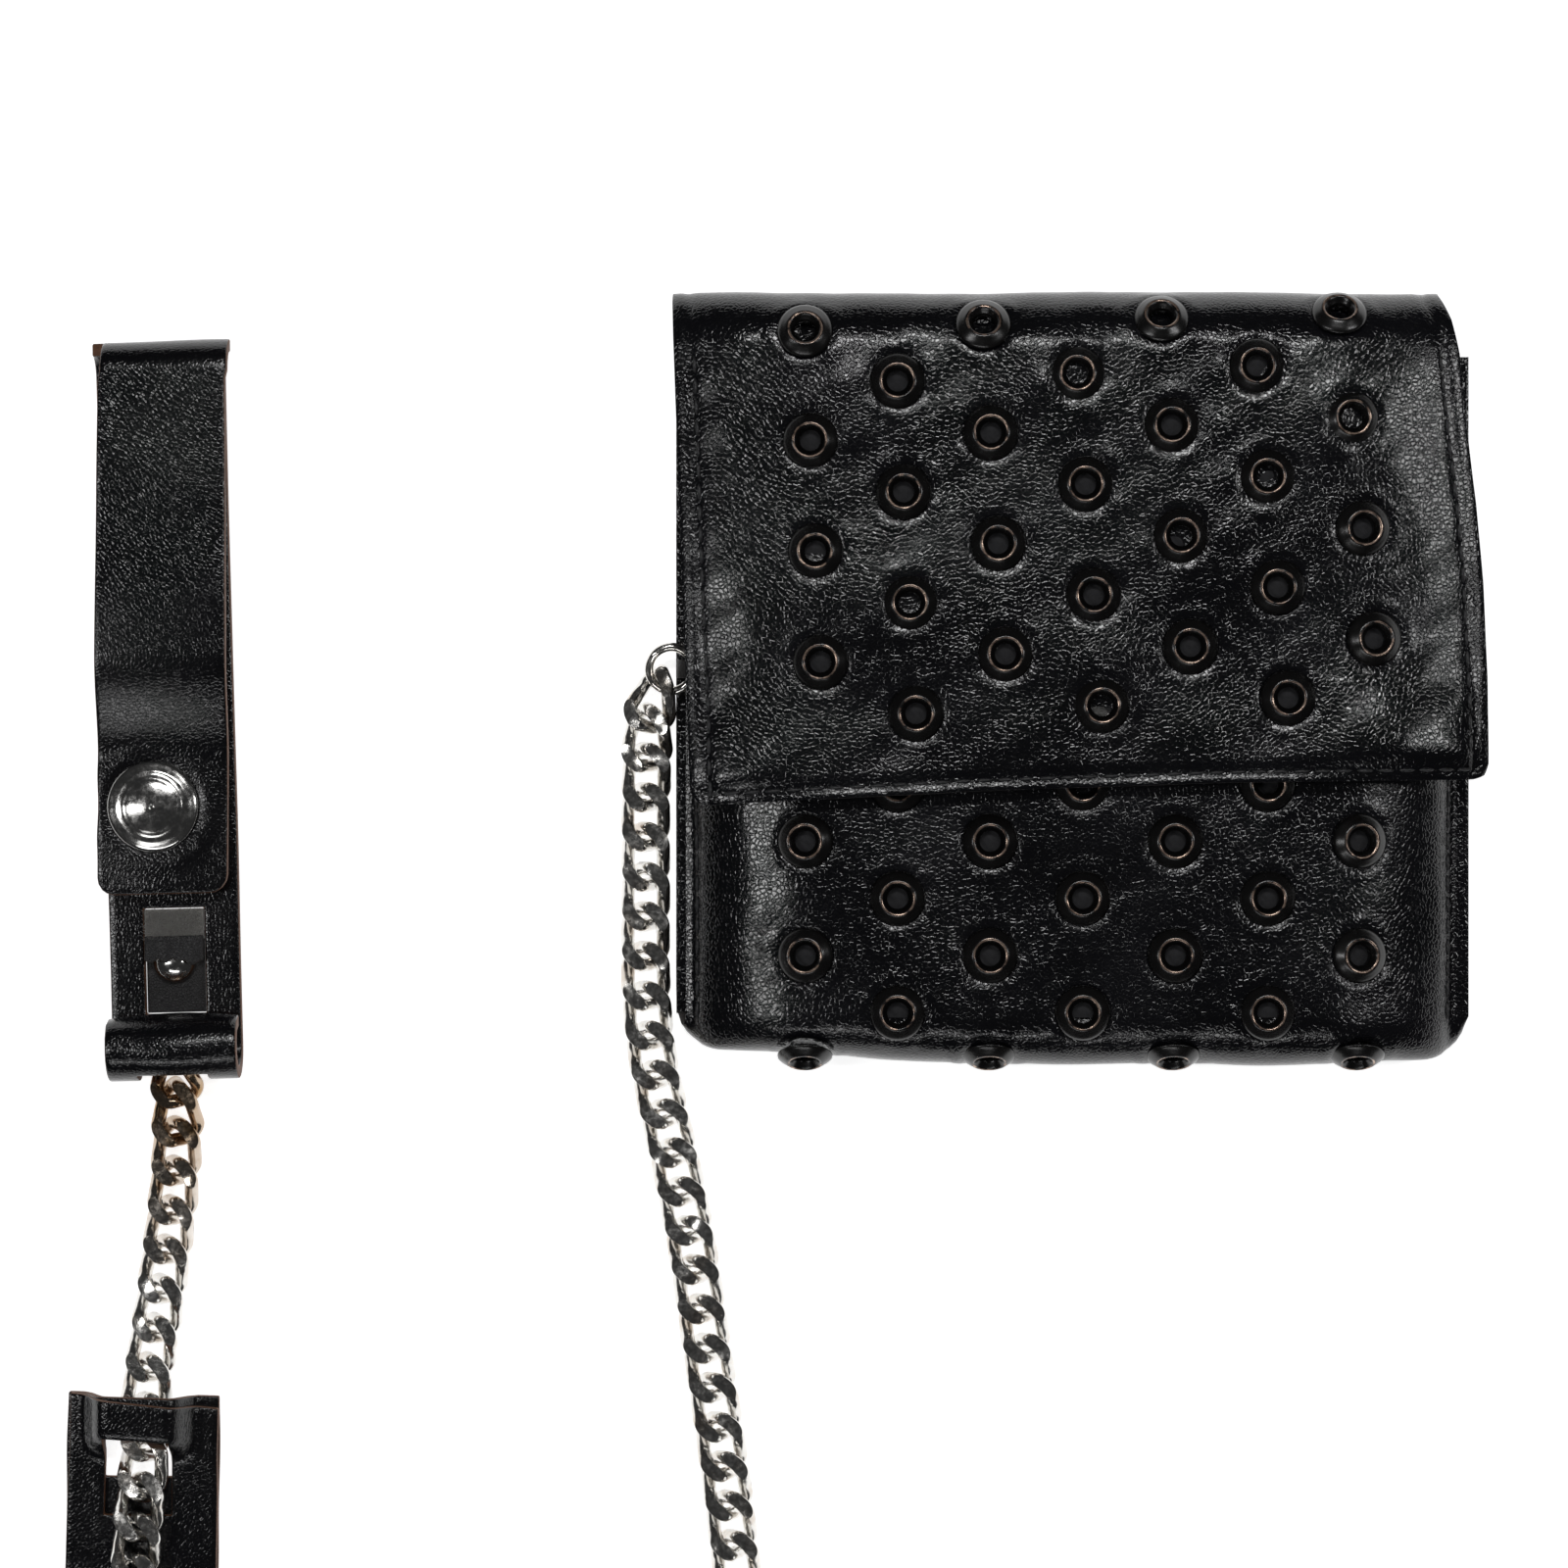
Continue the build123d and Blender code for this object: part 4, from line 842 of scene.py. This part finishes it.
cap_high = 2.0 * mm
rim_high = 0.88 * mm
cap_profile = [(0.01 * mm, 0.0), (cap_radius - 0.4 * mm, 0.0), (cap_radius - 0.05 * mm, 0.15 * mm),
               (cap_radius, 0.42 * mm), (cap_radius - 0.15 * mm, 0.7 * mm),
               (cap_radius - 0.5 * mm, 0.86 * mm)]
for share in np.linspace(0.88, 0.02, 20):
    r = share * cap_radius
    outer_ring = 0.13 * mm * math.exp(-((r / mm - 4.3) / 0.16) ** 2)
    inner_ring = 0.06 * mm * math.exp(-((r / mm - 3.7) / 0.2) ** 2)
    dome = rim_high + (cap_high - rim_high) * (1 - (share / 0.9) ** 2)
    cap_profile.append((r, dome - (outer_ring + inner_ring)))
cap_mesh = turned_part("snap_cap_master", cap_profile, 72)
cap_master = bpy.data.objects.new("snap_cap_master", cap_mesh)
cap_base = tongue_z(snap_u) + strap_thick - 0.15 * mm
cap_seat = strap_place(np.array(snap_u), np.array(snap_v), np.array(cap_base))
snap = fitted("snap_cap_dome", [(Vector(cap_seat), Vector((0, 0, 1)))], cap_master, stamped_nickel)
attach(snap, "tongue")
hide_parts("snap_cap")
for node in ("snap_socket", "snap_stud", "front_snap_stud", "flap_snap_socket"):
    dress(node, stamped_nickel)

# ---- Window in the strap
# A slot cut through the back layer shows a patch of hide behind it, with a strip of raised grey nap and the
# polished domed rivet that holds the patch. A dark band over the rivet's upper half is painted shadow: a
# strip of dark split hide, its lower edge ragged, put where the gap above the rivet lies in shade.

dress("window_floor", split_leather)
felt_ground, tree, shader, place = new_material("grey_felt")
tufts = add(tree, "ShaderNodeTexNoise", {"Vector": place, "Scale": 1 / (0.7 * mm), "Detail": 6.0,
                                         "Roughness": 0.8})
colour = add(tree, "ShaderNodeMix", {0: tufts.outputs["Fac"], 6: linear("#4a4947"), 7: linear("#b7b4ae")},
             data_type="RGBA")
bump = add(tree, "ShaderNodeBump", {"Height": tufts.outputs["Fac"], "Strength": 1.0, "Distance": 0.3 * mm})
tree.links.new(colour.outputs[2], shader.inputs["Base Color"])
tree.links.new(bump.outputs[0], shader.inputs["Normal"])
shader.inputs["Roughness"].default_value = 1.0
shader.inputs["Sheen Weight"].default_value = 0.4
dress("nap_tab", felt_ground)

napping, given = node_group("raised_nap", Density="Float", Length="Float", Thickness="Float",
                            Finish="Material")
strewn = add(napping, "GeometryNodeDistributePointsOnFaces", {
    "Mesh": given.outputs["Geometry"], "Density": given.outputs["Density"], "Seed": 7})
low = add(napping, "FunctionNodeRandomValue", {"Min": (-1.1, -1.1, 0.0), "Max": (1.1, 1.1, 6.28), "Seed": 3},
          data_type="FLOAT_VECTOR")
fibre = add(napping, "GeometryNodeMeshCone", {
    "Vertices": 3, "Radius Top": 0.0, "Radius Bottom": given.outputs["Thickness"],
    "Depth": given.outputs["Length"]}, fill_type="NONE")
grown = add(napping, "GeometryNodeInstanceOnPoints", {
    "Points": strewn.outputs["Points"], "Instance": fibre.outputs[0], "Rotation": low.outputs[0]})
hand_out(napping, grown.outputs[0], given.outputs["Finish"])

nap_top = 1.85 * mm
nap_u = np.linspace(window_u + 0.3 * mm, window_u + 4.1 * mm, 6)
nap_v = np.linspace(-window_half + 0.3 * mm, window_half - 0.3 * mm, 10)
nap_grid = strap_place(nap_u[:, None], nap_v[None, :], np.array([[nap_top]]))
index = np.arange(nap_u.size * nap_v.size).reshape(nap_u.size, nap_v.size)
quads = np.stack([index[:-1, :-1], index[1:, :-1], index[1:, 1:], index[:-1, 1:]], axis=-1).reshape(-1, 4)
nap_mesh = bpy.data.meshes.new("nap_fibres")
nap_mesh.from_pydata(nap_grid.reshape(-1, 3).tolist(), [], quads.tolist())
nap_fibres = bpy.data.objects.new("nap_fibres", nap_mesh)
bpy.context.scene.collection.objects.link(nap_fibres)
nodes = nap_fibres.modifiers.new("nap", "NODES")
nodes.node_group = napping
give(nodes, Density=42e6, Length=1.1 * mm, Thickness=0.05 * mm, Finish=felt_ground)
finished(nap_fibres)
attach(nap_fibres, "strap")

# painted shadow: this dark band of split hide, with its ragged lower edge, stands in for the shaded gap above
# the rivet
band_u = np.linspace(window_u + 3.7 * mm, window_u + 7.0 * mm, 14)
band_v = np.linspace(-window_half + 0.15 * mm, window_half - 0.15 * mm, 40)
ragged = wander(band_v, 0.0, 2.2 * mm, 61) * 0.45 * mm
share = np.linspace(0, 1, band_u.size)[:, None]
band_z = 2.25 * mm + 1.05 * mm * share
shadow_band_grid = strap_place(band_u[:, None] + ragged[None, :] * share, band_v[None, :], band_z)
cover_band = hide_panel("cover_band_hide", shadow_band_grid[::-1], 0.6 * mm, split_leather, black_cut_edge,
                        rounding=0.12 * mm)
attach(cover_band, "strap")
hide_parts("cover_band")

for node in ("rivet_dome", "rivet_post"):
    dress(node, stamped_nickel)

# ---- Keeper
# Two plies of the strap hide, both slotted near each end. The chain passes under the top bridge, up through
# the slots and over the face, so the bridges arch and the leather beside the slots is lifted.

keeper_low, keeper_high = [np.array(c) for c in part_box("keeper_lower_ply")]
keeper_turn = math.radians(0.7)
keeper_ply = 1.2 * mm
keeper_long = 50.0 * mm
keeper_half = 20.5 / 2 * mm
bridge = 5.4 * mm
keeper_slot_half = 4.6 * mm
keeper_slot_v = -0.5 * mm
rise = 4.35 * mm
keeper_middle = (keeper_low + keeper_high) / 2
keeper_down = np.array([-math.sin(keeper_turn), -math.cos(keeper_turn), 0.0])
keeper_across = np.array([math.cos(keeper_turn), -math.sin(keeper_turn), 0.0])
keeper_origin = keeper_middle * [1, 1, 0] - keeper_down * keeper_long / 2


def smooth(t):
    t = np.clip(t, 0, 1)
    return t * t * (3 - 2 * t)


def keeper_sheet(name, level, slot_long, top_lean, left_shift):
    """One ply: arched over the chain at both ends, with two slots, its head cut at a slant."""
    start, end = bridge, bridge + slot_long
    u = spaced([0, start, end, keeper_long - end, keeper_long - start, keeper_long], 0.9 * mm)
    v = spaced([-keeper_half, keeper_slot_v - keeper_slot_half,
                keeper_slot_v + keeper_slot_half, keeper_half], 0.9 * mm)
    beside = (np.abs(v - keeper_slot_v) - keeper_slot_half) / (3.6 * mm)
    arch = smooth(1 - beside)[None, :]
    head = np.minimum(u, keeper_long - u)[:, None]
    fade = smooth(1 - (head - bridge + 0.6 * mm) / (4.2 * mm))
    z = level * keeper_ply + keeper_ply + rise * arch * fade
    cut = (top_lean * (v / keeper_half + 1) / 2)[None, :] * smooth(1 - u / (12 * mm))[:, None]
    side = left_shift * smooth(1 - u / (30 * mm))[:, None] * (v < 0)[None, :]
    side = side * np.abs(v / keeper_half)[None, :]
    ragged = 0.1 * mm * wander(u, 0.0, 13 * mm, 70 + level)[:, None] * (v / keeper_half)[None, :]
    flat = keeper_origin + (u[:, None] + cut)[..., None] * keeper_down
    grid = flat + (v[None, :] + side + ragged)[..., None] * keeper_across
    grid[..., 2] = z + 0.12 * mm * wander(grid[..., 0], grid[..., 1], 16 * mm, 80) * (1 - fade)
    mid_u, mid_v = (u[1:] + u[:-1]) / 2, (v[1:] + v[:-1]) / 2
    near = np.minimum(mid_u, keeper_long - mid_u)
    hole = ((near > start) & (near < end))[:, None]
    hole = hole & (np.abs(mid_v - keeper_slot_v) < keeper_slot_half)[None, :]
    return hide_panel(name, grid[::-1], keeper_ply - 0.06 * mm, strap_hide, brown_cut_edge, keep=~hole[::-1],
                      rounding=0.2 * mm)


for name, level, slot_long, top_lean, left_shift in (
        ("keeper_lower_hide", 0, 6.0 * mm, 0.4 * mm, 0.0),
        ("keeper_upper_hide", 1, 11.0 * mm, 1.9 * mm, 0.5 * mm)):
    ply = keeper_sheet(name, level, slot_long, top_lean, left_shift)
    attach(ply, "keeper_run")
    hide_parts(name.replace("_hide", "_ply"))

# ---- Floor, light and camera
# A light table of opal acrylic, with long narrow softboxes on all sides and nothing bright overhead, so flat
# hide stays black and every slope that faces a softbox shines.

light_table, tree, shader, place = new_material("lit_opal_acrylic")
shader.inputs["Base Color"].default_value = linear("#f4f4f4")
shader.inputs["Roughness"].default_value = 0.9
shader.inputs["Emission Color"].default_value = linear("#ffffff")
shader.inputs["Emission Strength"].default_value = 0.8
floor_mesh = bpy.data.meshes.new("floor")
floor_reach, floor_z = 3, -0.0002
floor_corners = [(x * floor_reach, y * floor_reach, floor_z) for x, y in ((-1, -1), (1, -1), (1, 1), (-1, 1))]
floor_mesh.from_pydata(floor_corners, [], [(0, 1, 2, 3)])
floor_mesh.materials.append(light_table)
floor = bpy.data.objects.new("floor", floor_mesh)
bpy.context.scene.collection.objects.link(floor)

world = bpy.data.worlds.new("studio")
world.use_nodes = True
world.node_tree.nodes["Background"].inputs["Color"].default_value = linear("#f2f3f5")
world.node_tree.nodes["Background"].inputs["Strength"].default_value = 0.035
bpy.context.scene.world = world
bpy.context.scene.view_settings.view_transform = "Standard"

view_x, view_y = -38.8 * mm, -14.2 * mm
for name, place, size, power in (
        ("softbox_top", (view_x + 0.03, 0.37, 0.88), (0.42, 0.08), 2.4),
        ("softbox_left", (-0.56, -0.06, 0.76), (0.08, 0.36), 1.2),
        ("softbox_right", (0.6, 0.1, 0.7), (0.08, 0.36), 1.2),
        ("softbox_low", (view_x - 0.1, -0.6, 0.6), (0.6, 0.1), 1.0)):
    lamp = bpy.data.lights.new(name, "AREA")
    lamp.shape = "RECTANGLE"
    lamp.size, lamp.size_y = size
    lamp.energy = power
    light = bpy.data.objects.new(name, lamp)
    light.location = place
    light.rotation_euler = (Vector((view_x, view_y, 0)) - Vector(place)).to_track_quat("-Z", "Y").to_euler()
    bpy.context.scene.collection.objects.link(light)

camera_data = bpy.data.cameras.new("camera")
camera_data.sensor_width = 36.0
camera_data.lens = 100.0
camera_data.clip_start = 0.01
frame_width = 210.6 * mm
camera = bpy.data.objects.new("camera", camera_data)
camera.location = (view_x, view_y, frame_width * camera_data.lens / camera_data.sensor_width + 6 * mm)
bpy.context.scene.collection.objects.link(camera)
bpy.context.scene.camera = camera
